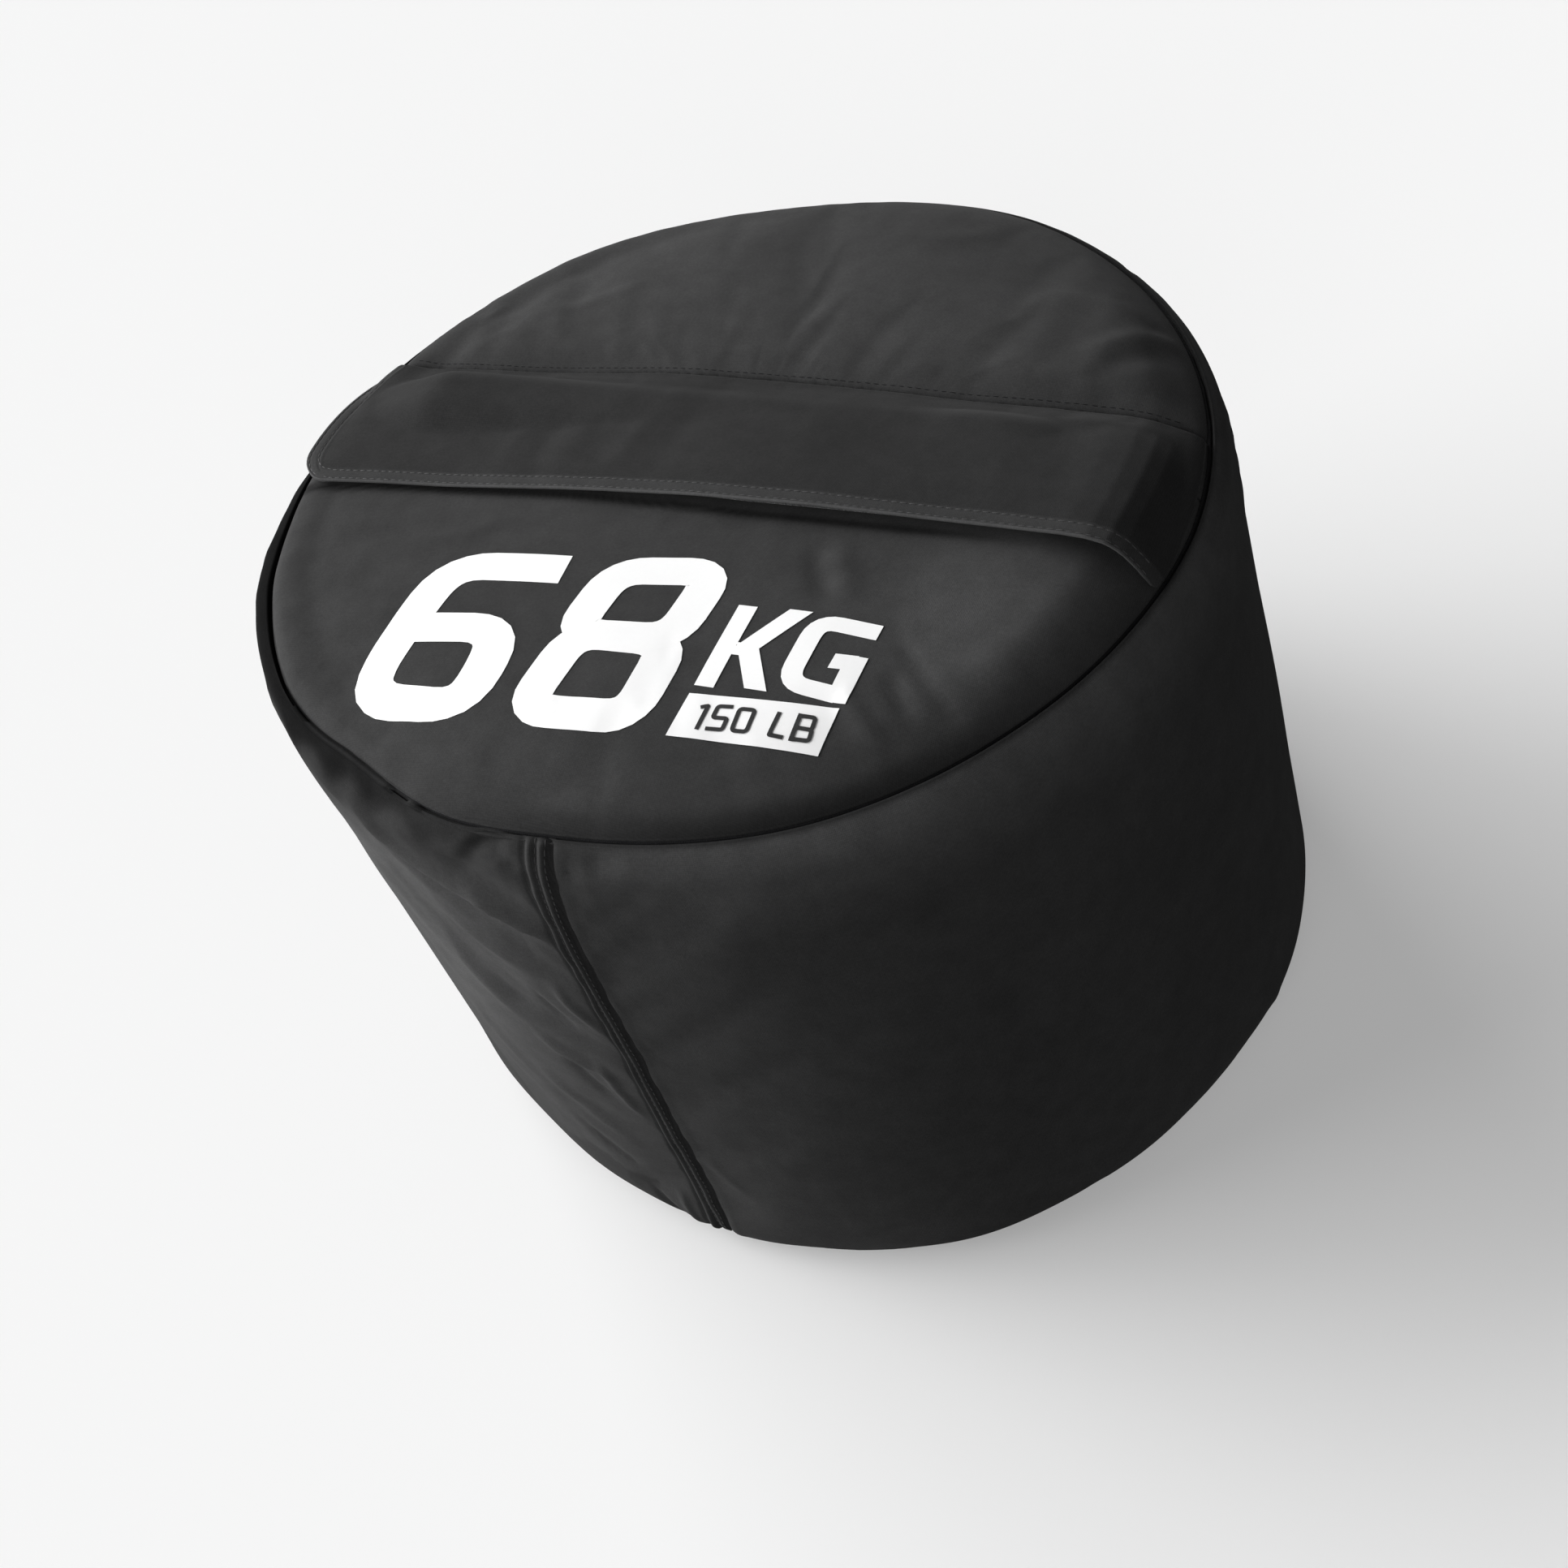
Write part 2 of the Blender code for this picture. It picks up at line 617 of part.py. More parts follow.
def make_pull(metal):
    """A flat tab with a window round the bridge's leg. Its origin is its swing axis."""
    _, _, _, coil_top = zip_heights()
    half_thick = PULL_THICK / 2
    low = coil_top + SEAT_GAP + SLIDER_PLATE + SEAT_GAP
    middle = slider_start_x()
    start = middle + half_thick
    half_width = PULL_WIDTH / 2
    pull = box("zip_pull", (start - PULL_LENGTH, ZIP_Y - half_width, low),
               (start, ZIP_Y + half_width, low + PULL_THICK), metal)
    window_end = middle - half_thick
    half_window = PULL_WINDOW_WIDTH / 2
    window = box("pull_window", (window_end - PULL_WINDOW_LENGTH, ZIP_Y - half_window, low - PULL_THICK),
                 (window_end, ZIP_Y + half_window, low + 2 * PULL_THICK), metal)
    axis = (middle, ZIP_Y, low + half_thick)
    set_origin(pull, axis)
    combine(pull, window, "DIFFERENCE")
    return axis


def hook_lift():
    """Height of the flap's underside over the top cloth where the hook tape lies on the loop tape."""
    return SLACK_GAP + LOOP_THICK + SEAT_GAP + HOOK_THICK + SEAT_GAP


def flap_rows():
    """(distance from the front edge, height of the underside over the top cloth) across the flap."""
    hook_end = HOOK_FROM_EDGE + HOOK_WIDTH
    zip_place = ZIP_Y - FLAP_FRONT_Y
    depth = FLAP_REAR_Y - FLAP_SEAM_GAP - FLAP_FRONT_Y
    corner = FLAP_CORNER_LEFT
    rows = [(0.0, FLAP_LIP_LIFT)]
    rows.append((HOOK_FROM_EDGE / 2, (FLAP_LIP_LIFT + hook_lift()) / 2))
    for away in (HOOK_FROM_EDGE, corner * FLAP_CORNER_ROW_SHARE, corner, hook_end):
        rows.append((away, hook_lift()))
    for away in (zip_place - ZIP_OPENING / 2, zip_place + ZIP_OPENING / 2):
        rows.append((away, FLAP_ZIP_LIFT))
    slope = zip_place + (depth - zip_place) * FLAP_SLOPE_ROW_SHARE
    rows += [(slope, (FLAP_ZIP_LIFT + FLAP_REAR_LIFT) / 2), (depth, FLAP_REAR_LIFT)]
    return rows


def corner_cut(away, radius):
    """How much a rounded corner of this radius takes off a row this far from the edge."""
    left = max(0.0, radius - away)
    return radius - math.sqrt(radius ** 2 - left ** 2)


def make_flap(material):
    """The cover over the zip. Its origin is the line it turns about, over the middle of its rear edge."""
    grid = []
    for away, lift in flap_rows():
        y = FLAP_FRONT_Y + away
        left = rim_x(y, -1, FLAP_END_INSET_LEFT) + corner_cut(away, FLAP_CORNER_LEFT)
        right = rim_x(y, 1, FLAP_END_INSET_RIGHT) - corner_cut(away, FLAP_CORNER_RIGHT)
        row = []
        for i in range(-FLAP_HALF_COLUMNS, FLAP_HALF_COLUMNS + 1):
            share = math.sin(math.pi / 2 * i / FLAP_HALF_COLUMNS)
            x = (left + right) / 2 + share * (right - left) / 2
            row.append(Vector((x, y, top_height(x, y) + lift)))
        grid.append(row)
    flap = sheet("closure_flap", grid, CLOTH, material)
    axis = (0.0, FLAP_REAR_Y, crown(0) + FLAP_REAR_LIFT + CLOTH + FLAP_HINGE_CLEARANCE)
    set_origin(flap, axis)
    return axis


def make_tape_strip(name, lift, thickness, material):
    """One half of the hook-and-loop closure, near the flap's front edge."""
    front = FLAP_FRONT_Y + HOOK_FROM_EDGE
    half = HOOK_LENGTH / 2
    grid = []
    for y in (front, front + HOOK_WIDTH / 2, front + HOOK_WIDTH):
        xs = [-half + HOOK_LENGTH * i / STRIP_COLUMNS for i in range(STRIP_COLUMNS + 1)]
        grid.append([Vector((x, y, top_height(x, y) + lift)) for x in xs])
    return sheet(name, grid, thickness, material)


def main():
    clear_scene()
    cloth = finish("bag_cloth", CLOTH_BLACK, 0.72)
    flap_cloth = finish("flap_cloth", FLAP_BLACK, 0.70)
    tape = finish("tape", TAPE_BLACK, 0.85)
    coil = finish("zip_coil", COIL_BLACK, 0.45)
    metal = finish("dark_metal", DARK_METAL, 0.35, 1.0)
    liner = finish("liner_cloth", LINER_GREY, 0.6)
    sand = finish("sand", SAND_TAN, 0.95)

    make_side_wall(cloth)
    make_bottom_panel(cloth)
    make_top(cloth)
    make_bindings(tape)
    make_side_binding(tape)
    make_liner(liner)
    make_sand(sand)
    make_throat(liner, tape)
    make_zip(tape, coil, metal)
    make_slider(metal)
    pull_axis = make_pull(metal)
    flap_axis = make_flap(flap_cloth)
    make_tape_strip("flap_hook_tape", hook_lift() - SEAT_GAP - HOOK_THICK, HOOK_THICK, tape)
    make_tape_strip("panel_loop_tape", SLACK_GAP, LOOP_THICK, tape)
    print("flap hinge", flap_axis, "pull hinge", pull_axis)


main()
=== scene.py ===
import math

import bmesh
import bpy
import numpy as np
from bpy.props import BoolProperty, FloatProperty, FloatVectorProperty, IntProperty, PointerProperty
from mathutils import Matrix, Vector
from mathutils.bvhtree import BVHTree


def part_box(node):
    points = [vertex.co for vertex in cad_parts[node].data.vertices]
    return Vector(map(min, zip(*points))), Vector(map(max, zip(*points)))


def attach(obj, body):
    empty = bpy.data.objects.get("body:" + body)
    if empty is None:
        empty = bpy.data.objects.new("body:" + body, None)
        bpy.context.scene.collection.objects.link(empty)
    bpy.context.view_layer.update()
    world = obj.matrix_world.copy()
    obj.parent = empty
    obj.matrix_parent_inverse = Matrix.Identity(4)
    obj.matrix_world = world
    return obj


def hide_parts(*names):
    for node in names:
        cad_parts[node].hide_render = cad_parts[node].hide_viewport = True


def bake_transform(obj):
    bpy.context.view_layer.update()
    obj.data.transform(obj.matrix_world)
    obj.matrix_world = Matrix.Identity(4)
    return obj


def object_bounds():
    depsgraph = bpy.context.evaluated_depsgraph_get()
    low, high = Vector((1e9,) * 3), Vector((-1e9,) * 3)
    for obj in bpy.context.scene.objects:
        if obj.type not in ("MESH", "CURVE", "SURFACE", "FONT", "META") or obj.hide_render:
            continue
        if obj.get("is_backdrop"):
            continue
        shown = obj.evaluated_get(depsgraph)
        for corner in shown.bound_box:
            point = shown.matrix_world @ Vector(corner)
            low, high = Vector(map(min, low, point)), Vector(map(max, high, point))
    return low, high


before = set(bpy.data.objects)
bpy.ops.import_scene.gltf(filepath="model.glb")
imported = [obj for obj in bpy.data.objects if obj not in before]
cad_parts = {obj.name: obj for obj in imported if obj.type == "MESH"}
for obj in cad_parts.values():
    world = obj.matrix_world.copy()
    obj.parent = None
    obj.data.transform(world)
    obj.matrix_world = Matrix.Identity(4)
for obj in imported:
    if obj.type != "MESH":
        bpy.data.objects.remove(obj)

bl_info = {
    "name": "Sandbag trainer dressing",
    "version": (1, 0, 0),
    "blender": (4, 5, 0),
    "location": "View3D > Sidebar > Sandbag",
    "description": "Dresses the packed frame of a stuffed training bag: cloth, seams, zip, flap and mark",
    "category": "Object",
}

MILLIMETRE = 0.001

# Stuffed shape, in the CAD model's own sizes
RIM_RADIUS = 0.2025
SEAM_HEIGHT = 0.303
CROWN_RISE = 0.017
CROWN_POWER = 8
SEAM_DIP = 0.002
SHOULDER_OUT = 0.0075
SHOULDER_DROP = 0.016
BELLY = 0.001
FOOT_SPREAD = 0.004
FOOT_ROLL = 0.021
FOOT_TUCK = 0.017
BOTTOM_SEAM_HEIGHT = 0.006
RIM_LOBE_SHARES = ((103, -0.045, 38), (182, 0.032, 40), (228, 0.022, 32), (275, -0.018, 30))
FOOT_LOBE_SHARES = ((20, 0.045, 70), (120, 0.03, 60), (248, -0.086, 65))
CLOTH = 0.0016
SIDE_SEAM_DEGREES = -90.5
ZIP_Y = 0.020
ZIP_OPENING = 0.013
FLAP_REAR_Y = 0.0544
FLAP_FRONT_Y = -0.0349
FLAP_END_INSET_LEFT = 0.0012
FLAP_END_INSET_RIGHT = 0.0004
FLAP_CORNER_LEFT = 0.020
FLAP_CORNER_RIGHT = 0.004
RIM_ROLL = 0.0060
RIM_ROLL_DROP = 0.0030
GROOVE_DEPTH = 0.0085
GROOVE_WIDTH = 0.0026
SHOULDER_START = 0.0028

# How the cloth lies, by x: how far the top sags at its left and swells at its right
TOP_SAG = ((-0.21, 0.0), (-0.19, 0.005), (-0.159, 0.0068), (-0.12, 0.0060), (-0.056, 0.0012),
           (0.0, 0.0), (0.10, 0.0), (0.15, -0.0025), (0.175, -0.0038), (0.195, -0.0015), (0.21, 0.0))
# How deep the valley along the sewn line is, by x
SEAM_VALLEY = ((-0.2, 0.0), (-0.17, 0.003), (-0.13, 0.0045), (-0.07, 0.0042), (-0.03, 0.0022), (0.02, 0.003),
               (0.063, 0.0044), (0.107, 0.0056), (0.151, 0.0085), (0.175, 0.006), (0.195, 0.0))
SEAM_BOW = 0.004
VALLEY_WIDTH = 0.011
# Least height of the flap's upper face over the zip and its slider, by x, and how it falls off beside them
ZIP_CLEARANCE = ((-0.21, 0.300), (-0.182, 0.3140), (-0.153, 0.3246), (0.084, 0.3246), (0.099, 0.3262),
                 (0.118, 0.3262), (0.138, 0.3244), (0.157, 0.3170), (0.21, 0.300))
ZIP_HUMP = 38.0
SLIDER_HALF_WIDTH = 0.0055
SLIDER_LOWERED = 0.0008
# How the flap's right end bends down into the rim seam: (distance from the rim, share of its height)
END_BEND = ((0.0, 0.0), (0.0035, 0.26), (0.0065, 0.46), (0.012, 0.74), (0.018, 0.90), (0.026, 0.975),
            (0.036, 1.0), (0.5, 1.0))
OPENING_ENDS = 0.141
# Height of the flap's free lip, by x
LIP_TOP = ((-0.205, 0.3105), (-0.1885, 0.3137), (-0.159, 0.3163), (-0.12, 0.3187), (-0.056, 0.3251),
           (0.003, 0.3293), (0.059, 0.3305), (0.112, 0.3294), (0.1455, 0.3290), (0.20, 0.3285))
# Middle and half width of the lapped seam, by height
LAP_WANDER = ((0.0, 0.0042), (0.055, 0.0042), (0.12, 0.0019), (0.17, 0.0021), (0.226, -0.0011),
              (0.262, -0.0018), (0.285, 0.0012), (0.303, 0.0025))
LAP_HALF_WIDTH = ((0.0, 0.0064), (0.06, 0.0057), (0.15, 0.0048), (0.23, 0.0051), (0.27, 0.0061),
                  (0.303, 0.0064))

# How far the rim seam is drawn in: (degrees round the bag, distance)
RIM_PULL = (
    (0, 0.0), (150, 0.0), (172, 0.0012), (184, 0.0026), (194, 0.0008), (205, -0.0028), (216, -0.0016),
    (224, 0.0), (230, 0.0024), (235, 0.0046), (239, 0.0068), (243.5, 0.0068), (249, 0.0048), (253, 0.0028),
    (257, 0.0016),
    (260, 0.0014), (264, 0.0022), (270, 0.0034), (283, 0.0034), (290, 0.0038), (300, 0.0040), (325, 0.0040),
    (345, 0.0022), (360, 0.0),
)

# Folds of the side wall in millimetres: ends as (along the wall from the seam, height), half width and rise
SIDE_FOLDS = (
    (-94, 282, -34, 256, 4.6, 3), (-40, 260, -12, 244, 3.6, 2.4), (-80, 266, -40, 243, 3.6, -1.7),
    (-10, 304, -34, 287, 3.2, -3), (-18, 292, -46, 272, 4, -1.2), (-60, 300, -92, 288, 6, -2.2),
    (-36, 189, -24, 173, 3, -1.6), (-20, 203, -6, 176, 3.4, 1.7), (-62, 187, -44, 175, 3.2, -1.4),
    (-50, 152, -18, 136, 3.6, 2), (-20, 140, -10, 108, 3.2, 1.6), (-38, 136, -22, 114, 3, -1.4),
    (-70, 236, -30, 214, 4.4, 1.6), (-74, 222, -40, 204, 3.6, -1.2), (-66, 110, -30, 80, 4.4, 1.4),
    (-60, 74, -30, 50, 4, -1.1), (-82, 204, -56, 166, 4.6, 1.5), (-100, 250, -80, 205, 6, 1),
    (-105, 140, -74, 100, 6, 0.9), (-30, 30, -18, 12, 3, -1.4), (-12, 34, -7, 10, 2.6, 1.2),
    (16, 82, 30, 60, 4, 0.9), (20, 262, 46, 281, 5, -0.8), (120, 296, 150, 278, 4.5, 1),
    (250, 294, 262, 262, 4.2, 1.3), (330, 296, 352, 268, 5, 1.1), (420, 290, 404, 250, 4.8, 1.4),
    (520, 296, 540, 270, 4.2, -1.2), (-260, 294, -238, 262, 4.4, 1.4),
    (-330, 292, -352, 262, 4.6, -1.2), (-420, 296, -400, 256, 5, 1.2), (-180, 292, -160, 268, 4, 1.1),
    (300, 40, 318, 12, 4, 1.2), (470, 36, 452, 12, 4, -1.2), (-300, 36, -316, 12, 4, 1.2),
    (180, 30, 190, 10, 4, -1),
)
# Folds of the top: ends as x and y, half width and rise
TOP_FOLDS = (
    (64, -50, 80, -76, 5, -1.1), (74, -46, 89, -72, 6, 1.1), (118, -108, 132, -126, 3.6, -1.3),
    (104, -122, 124, -138, 4, 1), (180, 108, 140, 84, 6, 1.7), (176, 90, 146, 76, 6, -1),
    (150, -112, 182, -40, 12, 2.2), (114, -88, 148, -120, 3.2, -0.8), (150, 112, 110, 118, 6, 1),
    (-120, -66, -84, -52, 6, 0.8), (-150, -100, -110, -112, 7, 0.8), (-20, -186, 20, -176, 6, -0.8),
    (20, 150, 70, 158, 6, 0.8), (-130, 92, -90, 110, 5, 0.9),
)
# Folds of the flap, given like those of the top
FLAP_FOLDS = (
    (-88, 44, -98, -22, 6, 0.5), (-58, 44, -68, -24, 7, 0.6), (-74, 42, -82, -20, 5, -0.5),
    (-28, 44, -40, -26, 6.5, 0.7), (-10, 44, -20, -20, 7, -0.5), (46, 42, 40, -10, 8, 0.4),
    (128, 38, 136, -26, 10, 0.5), (150, 42, 160, -20, 8, -0.4),
)


class BagCloth(bpy.types.PropertyGroup):
    """Sizes of the bag's cloth and sewing."""

    wrinkles: FloatProperty(name="Wrinkles", description="Depth of the folds, as a share of the photo's",
                            default=1.0, min=0.0, max=2.0, subtype="FACTOR")
    weave: FloatProperty(name="Weave pitch", description="Distance between threads", default=0.0007,
                         min=0.0002, max=0.004, unit="LENGTH")
    stitch: FloatProperty(name="Stitch length", description="Length of one topstitch", default=0.0030,
                          min=0.001, max=0.01, unit="LENGTH")
    stitch_gap: FloatProperty(name="Stitch gap", description="Gap between two stitches", default=0.0009,
                              min=0.0002, max=0.005, unit="LENGTH")
    thread: FloatProperty(name="Thread", description="Diameter of the sewing thread", default=0.00055,
                          min=0.0002, max=0.002, unit="LENGTH")
    hem: FloatProperty(name="Hem width", description="Width of the flap's turned hem", default=0.0082,
                       min=0.003, max=0.02, unit="LENGTH")
    coil_pitch: FloatProperty(name="Zip pitch", description="Distance between two turns of the zip's coil",
                              default=0.0014, min=0.0008, max=0.004, unit="LENGTH")
    settle: BoolProperty(name="Settle the cloth", description="Let the stuffed cloth settle by simulation",
                         default=True)
    frames: IntProperty(name="Settling frames", description="Length of the simulation", default=18,
                        min=4, max=60)


class BagFinish(bpy.types.PropertyGroup):
    """Colours of the bag."""

    cloth: FloatVectorProperty(name="Bag cloth", description="Colour of the side, base and top",
                               subtype="COLOR", size=3, min=0, max=1, default=(0.043, 0.043, 0.0433))
    flap: FloatVectorProperty(name="Flap cloth", description="Colour of the closure flap", subtype="COLOR",
                              size=3, min=0, max=1, default=(0.028, 0.028, 0.0282))
    # At the hem's outer edge this colour is a painted highlight; the rest of the hem takes about a third of
    # it
    hem: FloatVectorProperty(name="Flap hem", description="Colour of the worn edge of the flap's hem",
                             subtype="COLOR", size=3, min=0, max=1, default=(0.075, 0.075, 0.0755))
    thread: FloatVectorProperty(name="Thread", description="Colour of the topstitching", subtype="COLOR",
                                size=3, min=0, max=1, default=(0.036, 0.036, 0.0365))
    tape: FloatVectorProperty(name="Tapes", description="Colour of the zip, binding and closure tapes",
                              subtype="COLOR", size=3, min=0, max=1, default=(0.018, 0.018, 0.019))
    ink: FloatVectorProperty(name="Ink", description="Colour of the weight mark", subtype="COLOR",
                             size=3, min=0, max=1, default=(0.93, 0.93, 0.93))
    liner: FloatVectorProperty(name="Liner", description="Colour of the inner bag", subtype="COLOR",
                               size=3, min=0, max=1, default=(0.33, 0.33, 0.34))


class BagStudio(bpy.types.PropertyGroup):
    """Camera, lamps and floor."""

    lens: FloatProperty(name="Lens", description="Focal length on a 36 mm sensor", default=55.73,
                        min=10, max=200, unit="CAMERA")
    key: FloatProperty(name="Key light", description="Strength of the low soft sun from the left",
                       default=4.55, min=0, max=20)
    rear: FloatProperty(name="Rear light", description="Strength of the higher soft sun from the rear left",
                        default=3.0, min=0, max=20)
    fill: FloatProperty(name="Fill light", description="Strength of the weak light from the front",
                        default=1.0, min=0, max=20)
    ambient: FloatProperty(name="Ambient", description="Strength of the even light all round", default=0.12,
                           min=0, max=2)
    backdrop: FloatProperty(name="Backdrop", description="Brightness of the floor and backdrop",
                            default=0.896, min=0, max=1, subtype="FACTOR")


def cloth_settings():
    return bpy.context.scene.bag_cloth


# Shape of the bag

BLUR_WEIGHTS = np.array((1, 4, 9, 12, 9, 4, 1)) / 40


def soft_table(x, table, blur):
    """Values between the entries of a table, rounded off over the blur."""
    xs, ys = zip(*table)
    steps = np.linspace(-blur, blur, len(BLUR_WEIGHTS))
    return sum(w * np.interp(x + s, xs, ys) for w, s in zip(BLUR_WEIGHTS, steps))


def bell(away, width):
    return np.exp(-(away / width) ** 2)


def ramp(value, low, high):
    share = np.clip((value - low) / (high - low), 0, 1)
    return share * share * (3 - 2 * share)


def fading(value, low, high):
    """1 up to the first value, and from there down to 0 at the second."""
    return 1 - ramp(value, low, high)


def bearing(x, y):
    """Direction of a place from the bag's middle, in degrees."""
    return np.degrees(np.arctan2(y, x))


def turn_from(degrees, centre):
    """Angle from a direction, between -180 and 180 degrees."""
    return (degrees - centre + 180) % 360 - 180


def around(degrees, centre, width):
    """A bell over a part of the bag's round."""
    return bell(turn_from(degrees, centre), width)


def plateau(degrees, centre, width):
    """Like around, with a flat top and steeper ends."""
    return bell(turn_from(degrees, centre) ** 2, width ** 2)


def lobes(degrees, table):
    """Swelling of an outline, as a share of its radius: the sum of a few soft lobes."""
    total = np.zeros_like(degrees, dtype=float)
    for centre, swell, spread in table:
        away = np.abs(turn_from(degrees, centre))
        total += np.where(away < spread, swell * np.cos(np.pi / 2 * np.minimum(away / spread, 1)) ** 2, 0)
    return total


def outline(degrees, height):
    """Radius of the stuffed shape at a height."""
    drop = (SEAM_HEIGHT - height) / SEAM_HEIGHT
    rim = RIM_RADIUS * (1 + lobes(degrees, RIM_LOBE_SHARES))
    foot = (RIM_RADIUS + FOOT_SPREAD) * (1 + lobes(degrees, FOOT_LOBE_SHARES))
    return rim * (1 - drop) + foot * drop + BELLY * 4 * drop * (1 - drop)


def rim_pull(degrees):
    return soft_table(degrees % 360, RIM_PULL, 3)


def rim_reach(degrees):
    """Radius of the rim seam."""
    return outline(degrees, SEAM_HEIGHT) - rim_pull(degrees)


def place(degrees, radius, height):
    turn = np.radians(degrees)
    return np.stack(np.broadcast_arrays(radius * np.cos(turn), radius * np.sin(turn), height), -1)


def rim_x(y, side, inset):
    """x of the rim, less an inset, at this y on the left (-1) or right (1) side."""
    x = side * RIM_RADIUS * np.ones_like(y)
    for _ in range(8):
        radius = outline(bearing(x, y), SEAM_HEIGHT) - inset
        x = side * np.sqrt(radius ** 2 - y ** 2)
    return x


def corner_cut(away, radius):
    """How much a rounded corner takes off at this distance from the edge."""
    left = np.maximum(0.0, radius - away)
    return radius - np.sqrt(radius ** 2 - left ** 2)


def seam_y(x):
    """The flap's sewn line, bowed a little to the front between its ends."""
    return FLAP_REAR_Y - SEAM_BOW * np.clip(1 - (x / RIM_RADIUS) ** 4, 0, 1)


FOLD_BOW_SHARE = 0.05
FOLD_STARTS = (-0.25, 0.3)
FOLD_ENDS = (0.7, 1.25)


def fold_relief(x, y, folds):
    """Rise of soft folds: each is a slightly bowed ridge or crease that fades at its ends."""
    total = np.zeros(np.broadcast(x, y).shape)
    for x0, y0, x1, y1, width, rise in np.array(folds) * MILLIMETRE:
        dx, dy = x1 - x0, y1 - y0
        length = math.hypot(dx, dy)
        share = ((x - x0) * dx + (y - y0) * dy) / length ** 2
        away = ((x - x0) * dy - (y - y0) * dx) / length
        bend = FOLD_BOW_SHARE * length * 4 * share * (1 - share)
        total += rise * bell(away - bend, width) * ramp(share, *FOLD_STARTS) * fading(share, *FOLD_ENDS)
    return total * cloth_settings().wrinkles


LUMP_WAVES = 9
LUMP_TURNS = 70
LUMP_SHIFT = 6
LUMP_HIGH, LUMP_SPREAD = 0.6, 0.4


def lumps(a, b, seed):
    """Broad unevenness of the sand behind the cloth, about one unit high."""
    rng = np.random.default_rng(seed)
    total = 0
    for _ in range(LUMP_WAVES):
        across, along, shift, more = rng.uniform(-1, 1, 4)
        wave = np.sin(LUMP_TURNS * across * a + LUMP_TURNS * along * b + LUMP_SHIFT * shift)
        total = total + wave * (LUMP_HIGH + LUMP_SPREAD * more)
    return total / math.sqrt(LUMP_WAVES)


GATHER_WAVES = (31, 43, 58, 71, 83)
GATHER_LEAST = 0.4
GATHER_SCALE = 2.2
# Round the bag the puckers swell and die away: their mean, the swing, and its two slow waves
GATHER_MEAN, GATHER_SWING = 0.55, 0.45
GATHER_SLOW = ((5, 1.1), (3, 0.4))


def gathers(degrees, seed):
    """Small uneven puckers round a seam, about one unit high."""
    rng = np.random.default_rng(seed)
    turn = np.radians(degrees)
    total = 0
    for waves in GATHER_WAVES:
        total = total + np.sin(waves * turn + rng.uniform(0, 6.3)) * rng.uniform(GATHER_LEAST, 1)
    swing = GATHER_SWING
    for waves, shift in GATHER_SLOW:
        swing = swing * np.sin(waves * turn + shift)
    return total * (GATHER_MEAN + swing) / GATHER_SCALE


SAG_BLUR = 0.03
VALLEY_BLUR = 0.02
CALM_FROM_SHARE = 0.88
FOLDS_FADE_SHARE = 0.05
# The zip keeps this share of the sag away, over this width and from here to here at its left end
ZIP_SUPPORT_SHARE = 0.84
ZIP_SUPPORT_WIDTH = 0.018
ZIP_SUPPORT_START = (-0.158, -0.132)
TOP_LUMPS = 0.0005
RIM_GATHERS = 0.00035
RIM_GATHERS_LENGTH = 0.010
RIM_GATHERS_START = 0.003


def top_surface(x, y):
    """Height of the top cloth, with its sag, seam valley, folds and gathers."""
    degrees = bearing(x, y)
    reach = rim_reach(degrees)
    share = np.minimum(np.hypot(x, y) / reach, 1.0)
    inner = fading(share, CALM_FROM_SHARE, 1.0)
    by_zip = 1 - ZIP_SUPPORT_SHARE * bell(y - ZIP_Y, ZIP_SUPPORT_WIDTH) * ramp(x, *ZIP_SUPPORT_START)
    height = SEAM_HEIGHT + CROWN_RISE * (1 - share ** CROWN_POWER)
    height = height - soft_table(x, TOP_SAG, SAG_BLUR) * inner * by_zip
    height = height - soft_table(x, SEAM_VALLEY, VALLEY_BLUR) * bell(y - seam_y(x), VALLEY_WIDTH)
    height = height + fold_relief(x, y, TOP_FOLDS) * ramp(1 - share, 0.0, FOLDS_FADE_SHARE)
    height = height + TOP_LUMPS * lumps(x, y, 4) * inner
    from_rim = (1 - share) * reach
    gathered = RIM_GATHERS * gathers(degrees, 7) * np.exp(-from_rim / RIM_GATHERS_LENGTH)
    height = height + gathered * ramp(from_rim, 0.0, RIM_GATHERS_START)
    rolled = np.clip(1 - from_rim / RIM_ROLL, 0, 1)
    height = height - RIM_ROLL_DROP * (1 - np.sqrt(1 - rolled * rolled))
    return height + settled(degrees, share)


# How far the top stands out over the rim seam all round, and how much more at the front left: more, direction
# and width
OVERHANG = 0.0004
OVERHANG_LEFT = (0.0012, 232, 18)


def rim_overhang(degrees):
    more, centre, width = OVERHANG_LEFT
    return OVERHANG + more * around(degrees, centre, width)


# The wall's line: steps out and up from the groove's floor, and in and up from the foot's tuck
GROOVE_POINTS = ((-0.0006, 0.0), (0.0008, 0.0003), (0.0019, 0.0027))
TUCKED_POINTS = ((-0.0016, 0.0004), (-0.0032, 0.0022))
SHOULDER_START_DEGREES = 54


def foot_curve(turns):
    """Points of the rounded foot, as (radial step, height)."""
    return [(SHOULDER_OUT - FOOT_TUCK * (1 - math.cos(turn)), FOOT_ROLL * (1 - math.sin(turn)))
            for turn in turns]


BOTTOM_SEAM_TURN = math.asin(1 - BOTTOM_SEAM_HEIGHT / FOOT_ROLL)


